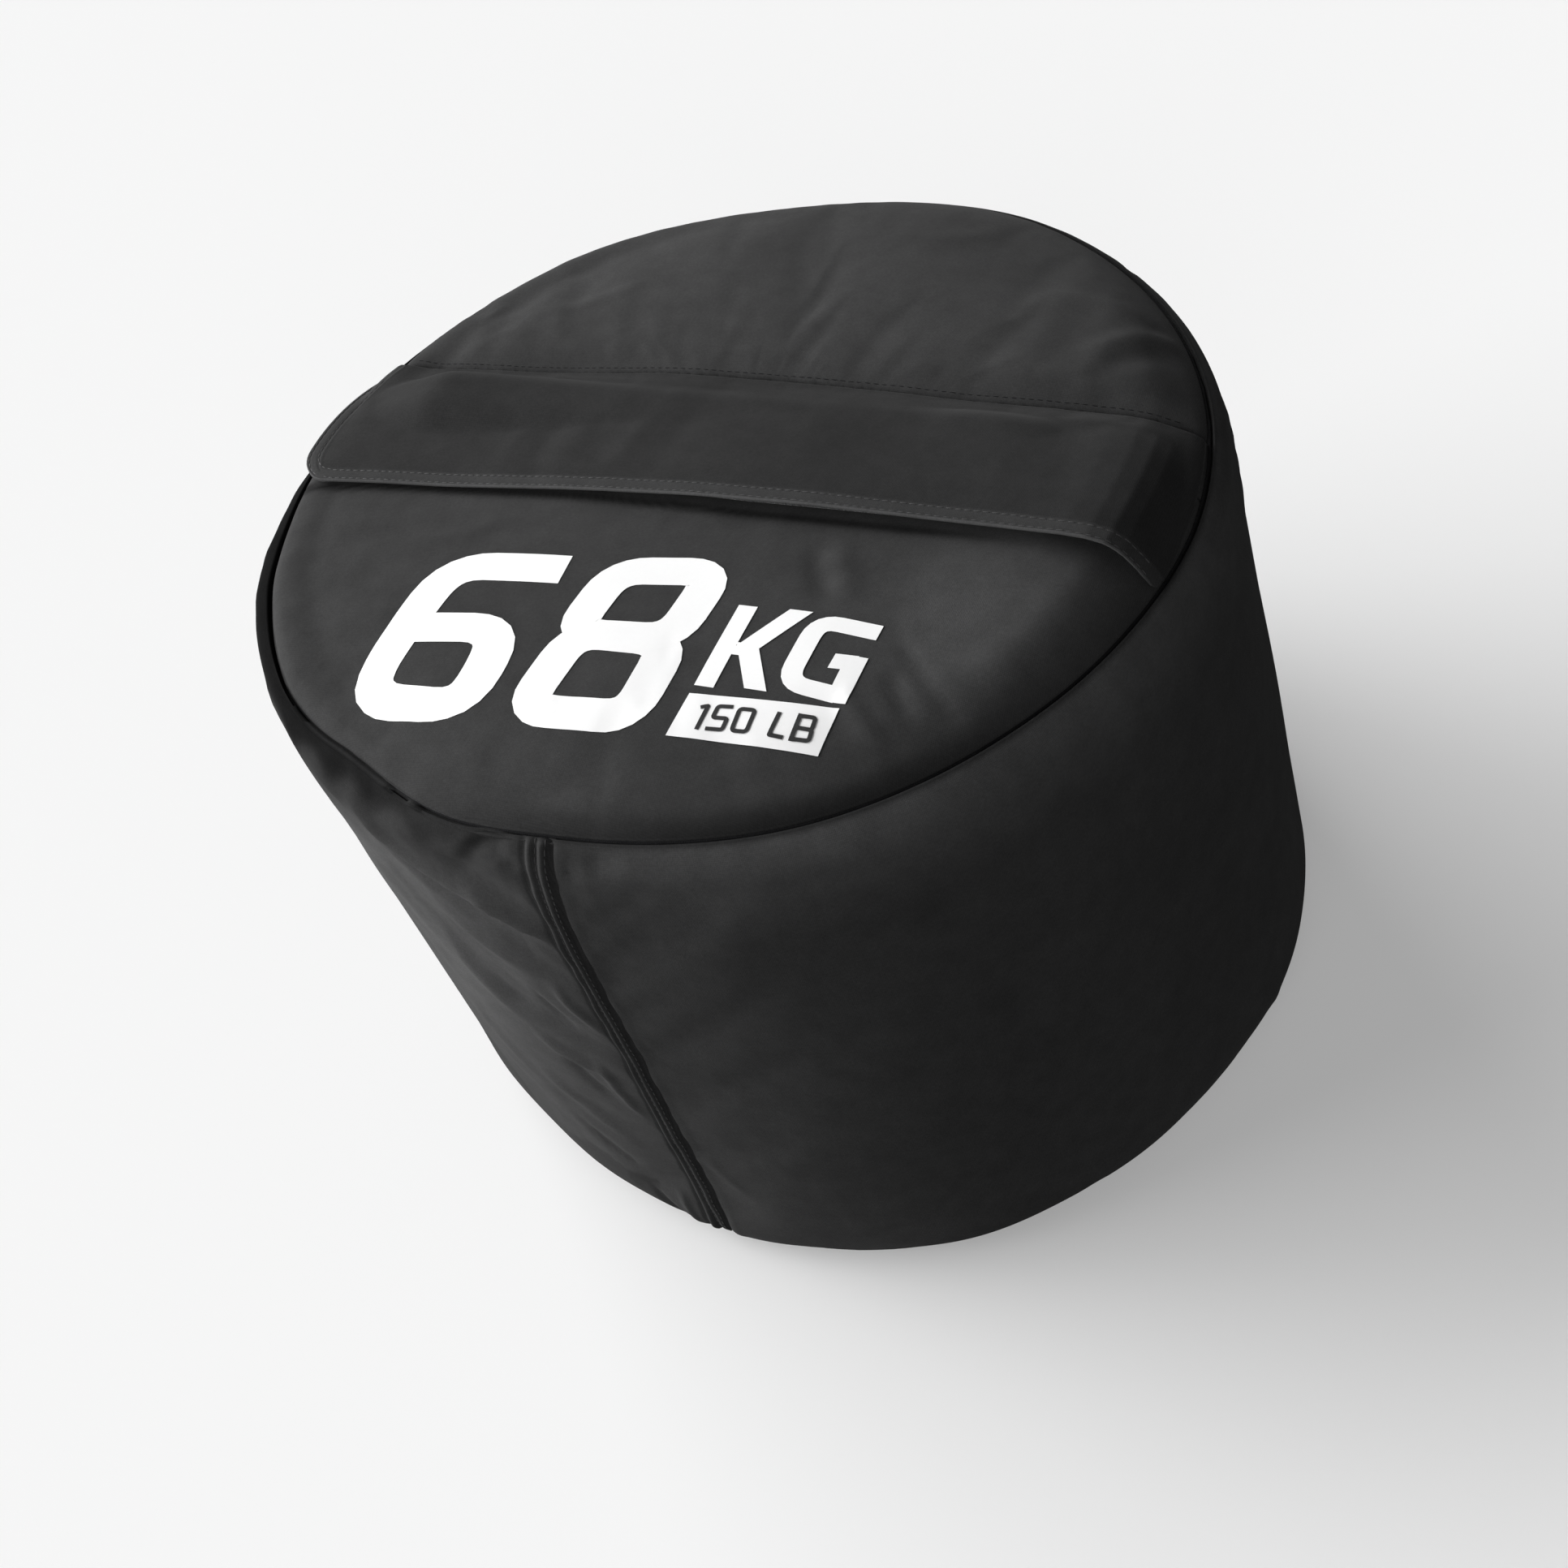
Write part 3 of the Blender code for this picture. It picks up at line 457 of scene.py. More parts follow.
def wall_path():
    """(radial step, height) down the wall, from inside the rim seam's groove to inside the bottom seam."""
    points = [(out, SEAM_HEIGHT - GROOVE_DEPTH + up) for out, up in GROOVE_POINTS]
    start = math.radians(SHOULDER_START_DEGREES)
    wide = (SHOULDER_OUT - GROOVE_WIDTH) / (1 - math.cos(start))
    high = (SHOULDER_DROP - SHOULDER_START) / math.sin(start)
    for turn in np.linspace(start, 0, 12):
        out = SHOULDER_OUT - wide * (1 - math.cos(turn))
        points.append((out, SEAM_HEIGHT - SHOULDER_DROP + high * math.sin(turn)))
    for height in np.linspace(SEAM_HEIGHT - SHOULDER_DROP, FOOT_ROLL, 12)[1:-1]:
        points.append((SHOULDER_OUT, height))
    points += foot_curve(np.linspace(0, BOTTOM_SEAM_TURN, 10))
    out, height = points[-1]
    points += [(out + step, height + up) for step, up in TUCKED_POINTS]
    return np.array(points)


# Where the drawn-in rim goes over into the wall's full width, by distance down the wall
PULL_FADES = (0.007, 0.026)


def wall_radius(degrees, out, height, from_rim):
    return outline(degrees, height) + out - rim_pull(degrees) * fading(from_rim, *PULL_FADES)


def spaced(path, steps):
    """The path at the given distances along it, and its length."""
    gone = np.concatenate([[0], np.cumsum(np.linalg.norm(np.diff(path, axis=0), axis=1))])
    return np.stack([np.interp(steps, gone, path[:, k]) for k in range(path.shape[1])], -1), gone[-1]


ROLL_STEP = 0.0010
ROLL_LENGTH = 0.026
WALL_STEP = 0.0036
FOOT_LENGTH = 0.030
FOOT_ROWS = 16


def wall_rows():
    """Rows of the wall, closest at its rim and foot: places, normals and distances down the wall."""
    path = wall_path()
    _, length = spaced(path, np.zeros(1))
    steps = np.concatenate([np.arange(0, ROLL_LENGTH, ROLL_STEP),
                            np.arange(ROLL_LENGTH, length - FOOT_LENGTH, WALL_STEP),
                            np.linspace(length - FOOT_LENGTH, length, FOOT_ROWS)])
    rows, _ = spaced(path, steps)
    run = np.gradient(rows, steps, axis=0)
    normal = np.stack([-run[:, 1], run[:, 0]], -1)
    return rows, normal / np.linalg.norm(normal, axis=1)[:, None], steps, length


_, _, _, WALL_LENGTH = wall_rows()

LAP_WANDER_BLUR = 0.025
LAP_WIDTH_BLUR = 0.03
# Relief across the lapped seam: (place as a share of its half width, rise, width share)
LAP_PROFILE = ((-0.55, 0.0016, 0.32), (0.34, 0.0022, 0.32), (0.93, -0.0026, 0.17), (-1.02, -0.0010, 0.20),
               (-0.12, -0.0005, 0.12), (1.60, 0.0003, 0.45))
# Broad swells under the rim: (direction, width, height, where it rises, where it falls)
SHOULDER_SWELLS = ((238, 22, -0.0014, (0.0045, 0.0085), (0.012, 0.030)),
                   (207, 22, 0.0042, (0.006, 0.013), (0.030, 0.100)))
# The left of the wall is drawn in: depth, direction and width, and where that starts from the rim and foot
LEFT_DRAWN_IN = (0.0026, 218, 18)
LEFT_FROM_RIM = (0.020, 0.060)
LEFT_FROM_FOOT = (0.02, 0.08)
# Where folds and gathers start, from the rim and from the foot, and where lumps do
FOLDS_FROM_RIM = (0.0062, 0.0110)
FOLDS_FROM_FOOT = (0.004, 0.010)
LUMPS_FROM_RIM = (0.01, 0.05)
WALL_LUMPS = 0.0007
# Gathers under the rim: rise, distance from it and width
WALL_GATHERS = (0.00030, 0.011, 0.008)
# Waves round the foot: (rise, count, shift), at this height and over this width
FOOT_WAVES = ((0.0008, 7, 0.6), (0.0005, 13, 2))
FOOT_WAVES_AT = (0.012, 0.016)
# The dent where the lapped seam meets the foot: depth, place along, height, and its half sizes
FOOT_DENT = (0.0030, 0.0052, 0.008, 0.0040, 0.016)


def lap_middle(height, share=0.0):
    """Place along the wall of the lapped seam's middle, or of a share of its half width beside it."""
    return soft_table(height, LAP_WANDER, LAP_WANDER_BLUR) + share * lap_half_width(height)


def lap_half_width(height):
    return soft_table(height, LAP_HALF_WIDTH, LAP_WIDTH_BLUR)


def lap_relief(along, height):
    """Two raised ridges of the lapped seam, and the deep groove on its right."""
    across = (along - lap_middle(height)) / lap_half_width(height)
    return sum(rise * bell(across - share, width) for share, rise, width in LAP_PROFILE)


def wall_relief(degrees, height, from_rim):
    """How far the side's cloth stands out of the plain stuffed shape."""
    along = np.radians(turn_from(degrees, SIDE_SEAM_DEGREES)) * (RIM_RADIUS + SHOULDER_OUT)
    turn = np.radians(degrees)
    ends = ramp(from_rim, *FOLDS_FROM_RIM) * ramp(height, *FOLDS_FROM_FOOT)
    relief = lap_relief(along, height) + fold_relief(along, height, SIDE_FOLDS)
    rise, at, width = WALL_GATHERS
    relief = relief + rise * gathers(degrees, 3) * bell(from_rim - at, width)
    waves = sum(high * np.sin(count * turn + shift) for high, count, shift in FOOT_WAVES)
    at, width = FOOT_WAVES_AT
    relief = relief + waves * bell(height - at, width)
    depth, dent_along, dent_height, wide, tall = FOOT_DENT
    relief = relief - depth * bell(along - dent_along, wide) * bell(height - dent_height, tall)
    relief = (relief + settled(degrees, 1 + from_rim / WALL_LENGTH)) * ends
    relief = relief + WALL_LUMPS * lumps(along, height, 11) * ramp(from_rim, *LUMPS_FROM_RIM)
    for centre, width, rise, starts, ends in SHOULDER_SWELLS:
        swell = rise * around(degrees, centre, width)
        relief = relief + swell * ramp(from_rim, *starts) * fading(from_rim, *ends)
    low = ramp(from_rim, *LEFT_FROM_RIM) * ramp(height, *LEFT_FROM_FOOT)
    depth, centre, width = LEFT_DRAWN_IN
    return relief - depth * around(degrees, centre, width) * low


# Settling of the cloth

SHELL_COLUMNS = 200
SHELL_TOP_ROWS = 26
SHELL_WALL_ROWS = 44
MOST_SETTLING = 0.0022
# Share of the settling that is kept on the top and the wall
TOP_SETTLING_SHARE = 0.4
WALL_SETTLING_SHARE = 0.8
# What the smooth right front loses of it: share, direction and width
CALM_RIGHT = (0.65, 315, 38)
# Rows at the middle of the top that don't move, and rows at the foot and base that are held
MIDDLE_ROWS = 3
FOOT_HELD_ROWS = 5
# Columns to each side that make up the broad swelling, and the share of that which is taken off
MEAN_COLUMNS = 12
MEAN_SHARE = 0.75
POLE_SHARE = 0.004
INNER_FLOOR = 0.003
SEWN_BAND = 0.004
SETTLING = {"quality": 4, "mass": 0.4, "tension_stiffness": 40, "compression_stiffness": 40,
            "shear_stiffness": 10, "bending_stiffness": 1.5, "shrink_min": -0.014, "use_pressure": True,
            "uniform_pressure_force": 3.0}
settling = {}


def settled(degrees, row):
    """How far the simulation moved the cloth out: row is 0 to 1 over the top and 1 to 2 down the wall."""
    if "moved" not in settling:
        return 0.0
    moved = settling["moved"]
    down = np.where(row <= 1, row * SHELL_TOP_ROWS, SHELL_TOP_ROWS + (row - 1) * SHELL_WALL_ROWS)
    down = np.clip(down, 0, len(moved) - 1.001)
    round_it = (degrees % 360) / 360 * SHELL_COLUMNS
    i, j = np.floor(down).astype(int), np.floor(round_it).astype(int)
    a, b = down - i, round_it - j
    j, k = j % SHELL_COLUMNS, (j + 1) % SHELL_COLUMNS
    found = ((1 - a) * ((1 - b) * moved[i, j] + b * moved[i, k])
             + a * ((1 - b) * moved[i + 1, j] + b * moved[i + 1, k]))
    calmer, centre, width = CALM_RIGHT
    calm = 1 - calmer * around(degrees, centre, width)
    kept = np.where(row <= 1, TOP_SETTLING_SHARE, WALL_SETTLING_SHARE)
    return found * kept * calm * cloth_settings().wrinkles


def shell_points():
    """The stuffed bag as rings of points, from the middle of the top to the middle of the base."""
    degrees = np.arange(SHELL_COLUMNS) * 360 / SHELL_COLUMNS
    rings = []
    for share in np.linspace(0, 1, SHELL_TOP_ROWS + 1):
        ring = place(degrees, max(share, POLE_SHARE) * rim_reach(degrees), SEAM_HEIGHT)
        ring[:, 2] = top_surface(ring[:, 0], ring[:, 1])
        rings.append(ring)
    steps = np.linspace(0, WALL_LENGTH, SHELL_WALL_ROWS + 1)[1:]
    rows, _ = spaced(wall_path(), steps)
    for (out, height), step in zip(rows, steps):
        rings.append(place(degrees, wall_radius(degrees, out, height, step), height))
    for share in (0.5, POLE_SHARE):
        rings.append(place(degrees, share * outline(degrees, 0.0), INNER_FLOOR))
    return np.array(rings)


def close_shell(shell, rows, columns):
    """Closes the shell's two small end rings with triangles."""
    work = work_on(shell.data)
    work.verts.ensure_lookup_table()
    work.faces.new([work.verts[j] for j in range(columns)])
    work.faces.new([work.verts[(rows - 1) * columns + j] for j in reversed(range(columns))])
    bmesh.ops.triangulate(work, faces=[f for f in work.faces if len(f.verts) > 4])
    keep(work, shell.data)


def hold_seams(shell, start):
    """Holds the rim seam, the flap's sewn line, the lapped seam and the foot still."""
    rows, columns = start.shape[:2]
    held = shell.vertex_groups.new(name="Sewn")
    by_lap = np.abs(turn_from(np.arange(columns) * 360 / columns, SIDE_SEAM_DEGREES)) < 1.0
    for i in range(rows):
        on_top = i <= SHELL_TOP_ROWS
        whole = i in (SHELL_TOP_ROWS, SHELL_TOP_ROWS + 1) or i >= rows - FOOT_HELD_ROWS
        for j in range(columns):
            x, y, _ = start[i, j]
            line = abs(y - seam_y(x)) < SEWN_BAND if on_top else by_lap[j]
            if whole or line:
                held.add([i * columns + j], 1.0, "REPLACE")


def settle_cloth():
    """Lets the stuffed shell swell between its seams, and keeps how far each place moved out."""
    start = shell_points()
    rows, columns = start.shape[:2]
    shell = skin("settling_shell", start, None, None, None, closed=True)
    close_shell(shell, rows, columns)
    hold_seams(shell, start)
    cloth = shell.modifiers.new("Settling", "CLOTH")
    for key, value in SETTLING.items():
        setattr(cloth.settings, key, value)
    cloth.settings.vertex_group_mass = "Sewn"
    cloth.settings.effector_weights.gravity = 0
    cloth.collision_settings.use_collision = False
    scene = bpy.context.scene
    cloth.point_cache.frame_start = 1
    cloth.point_cache.frame_end = cloth_settings().frames
    for number in range(1, cloth_settings().frames + 1):
        scene.frame_set(number)
    seen = shell.evaluated_get(bpy.context.evaluated_depsgraph_get())
    end = np.zeros(rows * columns * 3, np.float32)
    seen.data.vertices.foreach_get("co", end)
    move = end.reshape(rows, columns, 3) - start
    out = np.cross(np.gradient(start, axis=0), np.gradient(start, axis=1))
    out /= np.maximum(np.linalg.norm(out, axis=2), 1e-12)[..., None]
    moved = (move * out).sum(2)
    moved -= broad_swelling(moved)
    moved[:MIDDLE_ROWS] = 0
    settling["moved"] = np.clip(moved, -MOST_SETTLING, MOST_SETTLING)
    bpy.data.objects.remove(shell, do_unlink=True)
    scene.frame_set(1)


def broad_swelling(moved):
    """The broad part of the swelling, which the stuffed shape has already."""
    near = range(-MEAN_COLUMNS, MEAN_COLUMNS + 1)
    return MEAN_SHARE * sum(np.roll(moved, step, axis=1) for step in near) / len(near)


# Meshes

MERGED = 1e-6


def show(name, data):
    """An object in the scene for a mesh, curve, lamp or camera."""
    made = bpy.data.objects.new(name, data)
    bpy.context.scene.collection.objects.link(made)
    return made


def positions(made):
    return np.array([v.co[:] for v in made.data.vertices])


def mark(made, name, value):
    """Gives each point of a piece a value that its material reads."""
    made.data.attributes.new(name, "FLOAT", "POINT").data.foreach_set("value", value.astype(np.float32))


def skin(name, points, u, v, material, closed=False):
    """A grid of points as a mesh. u and v are the cloth's own measure across and along, in metres."""
    rows, columns = points.shape[:2]
    wrap = columns if closed else columns - 1
    i, j = (a.ravel() for a in np.meshgrid(np.arange(rows - 1), np.arange(wrap), indexing="ij"))
    k = (j + 1) % columns
    quads = np.stack([i * columns + j, (i + 1) * columns + j, (i + 1) * columns + k, i * columns + k], -1)
    mesh = bpy.data.meshes.new(name)
    mesh.from_pydata(points.reshape(-1, 3).tolist(), [], quads.tolist())
    if u is not None:
        layer = mesh.uv_layers.new(name="Cloth")
        corners = [np.stack([u[i + s, j + t], v[i + s, j + t]], -1)
                   for s, t in ((0, 0), (1, 0), (1, 1), (0, 1))]
        layer.uv.foreach_set("vector", np.stack(corners, 1).astype(np.float32).ravel())
    if material:
        mesh.materials.append(material)
    mesh.shade_smooth()
    return show(name, mesh)


def merge_points(work):
    bmesh.ops.remove_doubles(work, verts=work.verts, dist=MERGED)


def work_on(mesh):
    work = bmesh.new()
    work.from_mesh(mesh)
    return work


def keep(work, mesh):
    work.to_mesh(mesh)
    work.free()


def round_skin(name, points):
    """Closed rings of cloth as a mesh measured by its plan, and a work copy without doubled points."""
    x, y, _ = np.moveaxis(np.concatenate([points, points[:, :1]], 1), -1, 0)
    made = skin(name, points, x, y, materials["bag"], closed=True)
    work = work_on(made.data)
    merge_points(work)
    bmesh.ops.dissolve_degenerate(work, dist=MERGED / 10, edges=work.edges)
    return made, work


def cloth_measure(mesh, flat):
    """Gives a mesh the cloth's own measure, in metres, from a flat place for each vertex."""
    layer = mesh.uv_layers.get("Cloth") or mesh.uv_layers.new(name="Cloth")
    corner = np.zeros(len(mesh.loops), np.int32)
    mesh.loops.foreach_get("vertex_index", corner)
    layer.uv.foreach_set("vector", flat[corner].astype(np.float32).ravel())


def apply_modifiers(made):
    """Turns the object with its modifiers into a plain mesh."""
    seen = made.evaluated_get(bpy.context.evaluated_depsgraph_get())
    mesh = bpy.data.meshes.new_from_object(seen)
    made.modifiers.clear()
    old = made.data
    made.data = mesh
    name = old.name
    bpy.data.meshes.remove(old)
    mesh.name = name
    return made


def thicken(made):
    """Gives a skin the cloth's thickness, inwards."""
    wall = made.modifiers.new("Cloth thickness", "SOLIDIFY")
    wall.thickness = CLOTH
    wall.offset = -1.0
    wall.use_rim = True
    return apply_modifiers(made)


def from_work(name, work, material, smooth_degrees=40):
    bmesh.ops.recalc_face_normals(work, faces=work.faces)
    mesh = bpy.data.meshes.new(name)
    keep(work, mesh)
    mesh.materials.append(material)
    mesh.shade_smooth()
    mesh.set_sharp_from_angle(angle=math.radians(smooth_degrees))
    return show(name, mesh)


def join_rings(work, rings):
    """Faces between rings of vertices, and one over each end."""
    for a, b in zip(rings, rings[1:]):
        for i in range(len(a)):
            j = (i + 1) % len(a)
            work.faces.new((a[i], a[j], b[j], b[i]))
    work.faces.new(rings[0])
    work.faces.new(rings[-1])


def hand_over(made, body, slot, *nodes):
    """Puts a finished piece on its body, in place of the CAD nodes it stands for."""
    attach(made, body)
    if nodes:
        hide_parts(*nodes)
    return made


def sheet_solid(name, x, y, low, high, material):
    """A sheet over a grid, with its own upper and lower faces, closed round its edge."""
    ring = np.concatenate([np.stack([x, y, high], -1), np.stack([x, y, low], -1)[::-1]], 0)
    u, v = (np.concatenate([a, a[::-1]], 0) for a in (x, y))
    made = skin(name, ring[::-1], u[::-1], v[::-1], material)
    work = work_on(made.data)
    work.verts.ensure_lookup_table()
    rows, columns = x.shape
    last = 2 * rows - 1

    def at(i, j):
        return work.verts[(last - i) * columns + j]

    for j in (0, columns - 1):
        for i in range(rows - 1):
            work.faces.new((at(i, j), at(i + 1, j), at(last - 1 - i, j), at(last - i, j)))
    for j in range(columns - 1):
        work.faces.new((at(0, j), at(0, j + 1), at(last, j + 1), at(last, j)))
    merge_points(work)
    bmesh.ops.recalc_face_normals(work, faces=work.faces)
    for face in work.faces:
        face.smooth = True
    keep(work, made.data)
    return made


# Node trees

NOISE_SPAN = (0.3, 0.7)


def add_node(tree, kind, *links, **settings):
    """Adds a node. Each link is an input and its value, or the output that feeds it."""
    made = tree.nodes.new(kind)
    for key, value in settings.items():
        setattr(made, key, value)
    for socket, value in links:
        if isinstance(value, bpy.types.NodeSocket):
            tree.links.new(value, made.inputs[socket])
        else:
            made.inputs[socket].default_value = value
    return made.outputs


class Graph:
    """What materials and Geometry Nodes trees have in common."""

    def node(self, kind, *links, **settings):
        return add_node(self.tree, kind, *links, **settings)

    def step(self, kind, *links, **settings):
        """Adds a node and gives its first output."""
        return self.node(kind, *links, **settings)[0]

    def maths(self, operation, first, second=0.0):
        return self.step("ShaderNodeMath", (0, first), (1, second), operation=operation)


class Shader(Graph):
    """Builds a node material step by step."""

    def __init__(self, name, roughness, metallic=0.0, sheen=0.0, sheen_roughness=0.5, specular=0.5):
        self.material = bpy.data.materials.new(name)
        self.material.use_nodes = True
        self.tree = self.material.node_tree
        self.inputs = self.tree.nodes["Principled BSDF"].inputs
        for key, value in (("Roughness", roughness), ("Metallic", metallic), ("Sheen Weight", sheen),
                           ("Sheen Roughness", sheen_roughness), ("Specular IOR Level", specular)):
            self.inputs[key].default_value = value
        coordinates = self.node("ShaderNodeTexCoord")
        self.place_on, self.cloth = coordinates["Object"], coordinates["UV"]

    def noise(self, scale, detail=2.0, roughness=0.5):
        return self.node("ShaderNodeTexNoise", ("Vector", self.place_on), ("Scale", scale),
                         ("Detail", detail), ("Roughness", roughness))["Fac"]

    def cells(self, scale):
        return self.node("ShaderNodeTexVoronoi", ("Vector", self.place_on), ("Scale", scale))

    def range(self, value, low, high, to_low, to_high):
        return self.step("ShaderNodeMapRange", (0, value), (1, low), (2, high), (3, to_low), (4, to_high))

    def cloudy(self, noise, to_low, to_high):
        """A noise's usual span, brought between two values."""
        return self.range(noise, *NOISE_SPAN, to_low, to_high)

    def mix(self, share, first, second):
        return self.node("ShaderNodeMix", (0, share), (6, first), (7, second), data_type="RGBA")[2]

    def attribute(self, name):
        return self.node("ShaderNodeAttribute", attribute_name=name)["Fac"]

    def bump(self, height, strength, distance, under=None):
        links = [("Height", height), ("Strength", strength), ("Distance", distance)]
        return self.step("ShaderNodeBump", *links, *([("Normal", under)] if under else []))

    def finish(self, colour, factor, normal, roughness=None):
        """Ends in the colour, made lighter or darker by the factor."""
        tint = self.step("ShaderNodeVectorMath", (0, colour), ("Scale", factor), operation="SCALE")
        for key, output in (("Base Color", tint), ("Normal", normal), ("Roughness", roughness)):
            if output:
                self.tree.links.new(output, self.inputs[key])
        return self.material


# Materials

def weave_height(shader, pitch):
    """Over and under of a plain weave in the cloth's own measure."""
    scaled = shader.step("ShaderNodeVectorMath", (0, shader.cloth), ("Scale", 1 / pitch), operation="SCALE")
    parts = shader.node("ShaderNodeSeparateXYZ", (0, scaled))
    across, along = (shader.maths("SINE", shader.maths("MULTIPLY", parts[k], math.pi)) for k in (0, 1))
    sign = shader.range(shader.maths("MULTIPLY", across, along), -0.25, 0.25, 0.0, 1.0)
    warp = shader.maths("MULTIPLY", shader.maths("ABSOLUTE", across), sign)
    weft = shader.maths("MULTIPLY", shader.maths("ABSOLUTE", along), shader.maths("SUBTRACT", 1.0, sign))
    return shader.maths("ADD", warp, weft)


# How much darker the cloth is where its painted shade is 1, how many times as pale where its painted light
# is -1, and from which painted shade on it has no sheen
PAINTED_SHADE_DARKER = 0.84
PAINTED_LIGHT_PALER = 2.2
SHEENLESS_FROM_PAINTED_SHADE = 0.6
LINT_SIZE = (0.03, 0.07)
LINT_PALER = 0.35
LINT_CHOSEN = (0.60, 0.64)
LINT_CELLS = 170.0
LINT_NOISE = (60.0, 0.0)
# Noises of the cloth: (scale, detail, roughness), and the tones between which each of them and the weave runs
BROAD_NOISE, BROAD_TONES = (14.0, 3.0, 0.55), (0.88, 1.12)
MOTTLE_NOISE, MOTTLE_TONES = (90.0, 4.0, 0.6), (0.91, 1.09)
FINE_NOISE, FINE_TONES = (900.0, 2.0, 0.6), (0.90, 1.10)
WEAVE_TONES = (0.84, 1.06)
# Bumps: (strength, height)
MOTTLE_BUMP = (0.25, 0.0004)
FINE_BUMP = (0.25, 0.00012)
WEAVE_BUMP_HEIGHT = 0.00016
ROUGHER = 0.06


def cloth_material(name, colour, pitch, strength, sheen=0.06, roughness=0.84, hem=None, painted_shading_on=False):
    """Closely woven matte cloth, with mottling, lint and a soft sheen. A hem may be paler, its edge with a
    painted highlight; painted shade and painted light may darken or lighten the cloth and take its sheen.
    """
    shader = Shader(name, roughness, sheen=sheen, sheen_roughness=0.45, specular=0.0)
    weave = weave_height(shader, pitch)
    broad, mottle, fine = (shader.noise(*noise) for noise in (BROAD_NOISE, MOTTLE_NOISE, FINE_NOISE))
    factor = shader.cloudy(broad, *BROAD_TONES)
    for more in (shader.cloudy(mottle, *MOTTLE_TONES), shader.cloudy(fine, *FINE_TONES),
                 shader.range(weave, 0.0, 1.0, *WEAVE_TONES)):
        factor = shader.maths("MULTIPLY", factor, more)
    speck = shader.range(shader.cells(LINT_CELLS)["Distance"], *LINT_SIZE, LINT_PALER, 0.0)
    chosen = shader.range(shader.noise(*LINT_NOISE), *LINT_CHOSEN, 0.0, 1.0)
    factor = shader.maths("ADD", factor, shader.maths("MULTIPLY", speck, chosen))
    # Painted shade darkens the cloth and takes its sheen away; painted light makes it paler
    if painted_shading_on:
        painted_shading_value = shader.attribute("soil")
        for more in (shader.range(painted_shading_value, 0.0, 1.0, 1.0, 1.0 - PAINTED_SHADE_DARKER),
                     shader.range(painted_shading_value, -1.0, 0.0, PAINTED_LIGHT_PALER, 1.0)):
            factor = shader.maths("MULTIPLY", factor, more)
        sheen_under_painted_shade = shader.range(painted_shading_value, 0.0, SHEENLESS_FROM_PAINTED_SHADE, sheen, 0.0)
        shader.tree.links.new(sheen_under_painted_shade, shader.inputs["Sheen Weight"])
    if hem:
        colour = shader.mix(shader.attribute("hem"), (*colour, 1), (*hem, 1))
    normal = shader.bump(mottle, *MOTTLE_BUMP)
    normal = shader.bump(fine, *FINE_BUMP, normal)
    normal = shader.bump(weave, strength, WEAVE_BUMP_HEIGHT, normal)
    rough = shader.cloudy(mottle, roughness - ROUGHER, roughness + ROUGHER)
    return shader.finish(colour, factor, normal, rough)


# Noises, tones and bumps of the other materials, in the same order
TWIST_SCALE, TWIST_DISTORTION = 900.0, 1.5
TWIST_TONES = (0.8, 1.15)
TWIST_BUMP = (0.4, 0.0001)
PILE_TONES = (0.7, 1.35)
PILE_HEIGHTS = (0.3, 1.3)
PILE_FINER = 1.7
PILE_BUMP_HEIGHT = 0.0006
SCRATCH_NOISE, SCRATCH_BUMP = (1400.0, 4.0, 0.7), (0.12, 0.00005)
PLATE_NOISE, PLATE_TONES = (160.0, 3.0), (0.85, 1.3)
GRAIN_NOISE, GRAIN_TONES, GRAIN_BUMP = (700.0, 3.0, 0.6), (0.985, 1.0), (0.15, 0.00008)
INK_NOISE, INK_TONES, INK_BUMP = (30.0, 2.0), (0.985, 1.01), (0.10, 0.00010)
SAND_DARK, SAND_PALE = (0.42, 0.32, 0.20, 1), (0.66, 0.56, 0.41, 1)
SAND_CELLS, SAND_NOISE, SAND_TONES, SAND_BUMP = 1400.0, (25.0, 4.0), (0.85, 1.1), (0.7, 0.0006)


def thread_material(name, colour, roughness=0.55):
    shader = Shader(name, roughness, sheen=0.1, specular=0.15)
    twist = shader.node("ShaderNodeTexWave", ("Vector", shader.place_on), ("Scale", TWIST_SCALE),
                        ("Distortion", TWIST_DISTORTION), bands_direction="DIAGONAL")["Fac"]
    tones = shader.range(twist, 0.0, 1.0, *TWIST_TONES)
    return shader.finish(colour, tones, shader.bump(twist, *TWIST_BUMP))


def pile_material(name, colour, scale, strength):
    """Fuzzy loops, or the stiff hooks that grip them."""
    shader = Shader(name, 0.9, sheen=0.35)
    fuzz = shader.noise(scale * PILE_FINER, 3.0, 0.7)
    height = shader.maths("ADD", shader.cells(scale)["Distance"], fuzz)
    tones = shader.range(height, *PILE_HEIGHTS, *PILE_TONES)
    return shader.finish(colour, tones, shader.bump(height, strength, PILE_BUMP_HEIGHT))


def metal_material(name, colour, roughness):
    """Dark plated metal, brighter where it has worn."""
    shader = Shader(name, roughness, metallic=1.0)
    scratch, cloud = shader.noise(*SCRATCH_NOISE), shader.noise(*PLATE_NOISE)
    rough = shader.cloudy(scratch, roughness - 0.08, roughness + 0.12)
    tones = shader.cloudy(cloud, *PLATE_TONES)
    return shader.finish(colour, tones, shader.bump(scratch, *SCRATCH_BUMP), rough)


def ink_material(name, colour, pitch):
    """Thick matte ink that still shows the weave under it."""
    shader = Shader(name, 0.62, specular=0.3)
    weave = weave_height(shader, pitch)
    grain, broad = shader.noise(*GRAIN_NOISE), shader.noise(*INK_NOISE)
    factor = shader.maths("MULTIPLY", shader.cloudy(grain, *GRAIN_TONES), shader.cloudy(broad, *INK_TONES))
    return shader.finish(colour, factor, shader.bump(weave, *INK_BUMP, shader.bump(grain, *GRAIN_BUMP)))


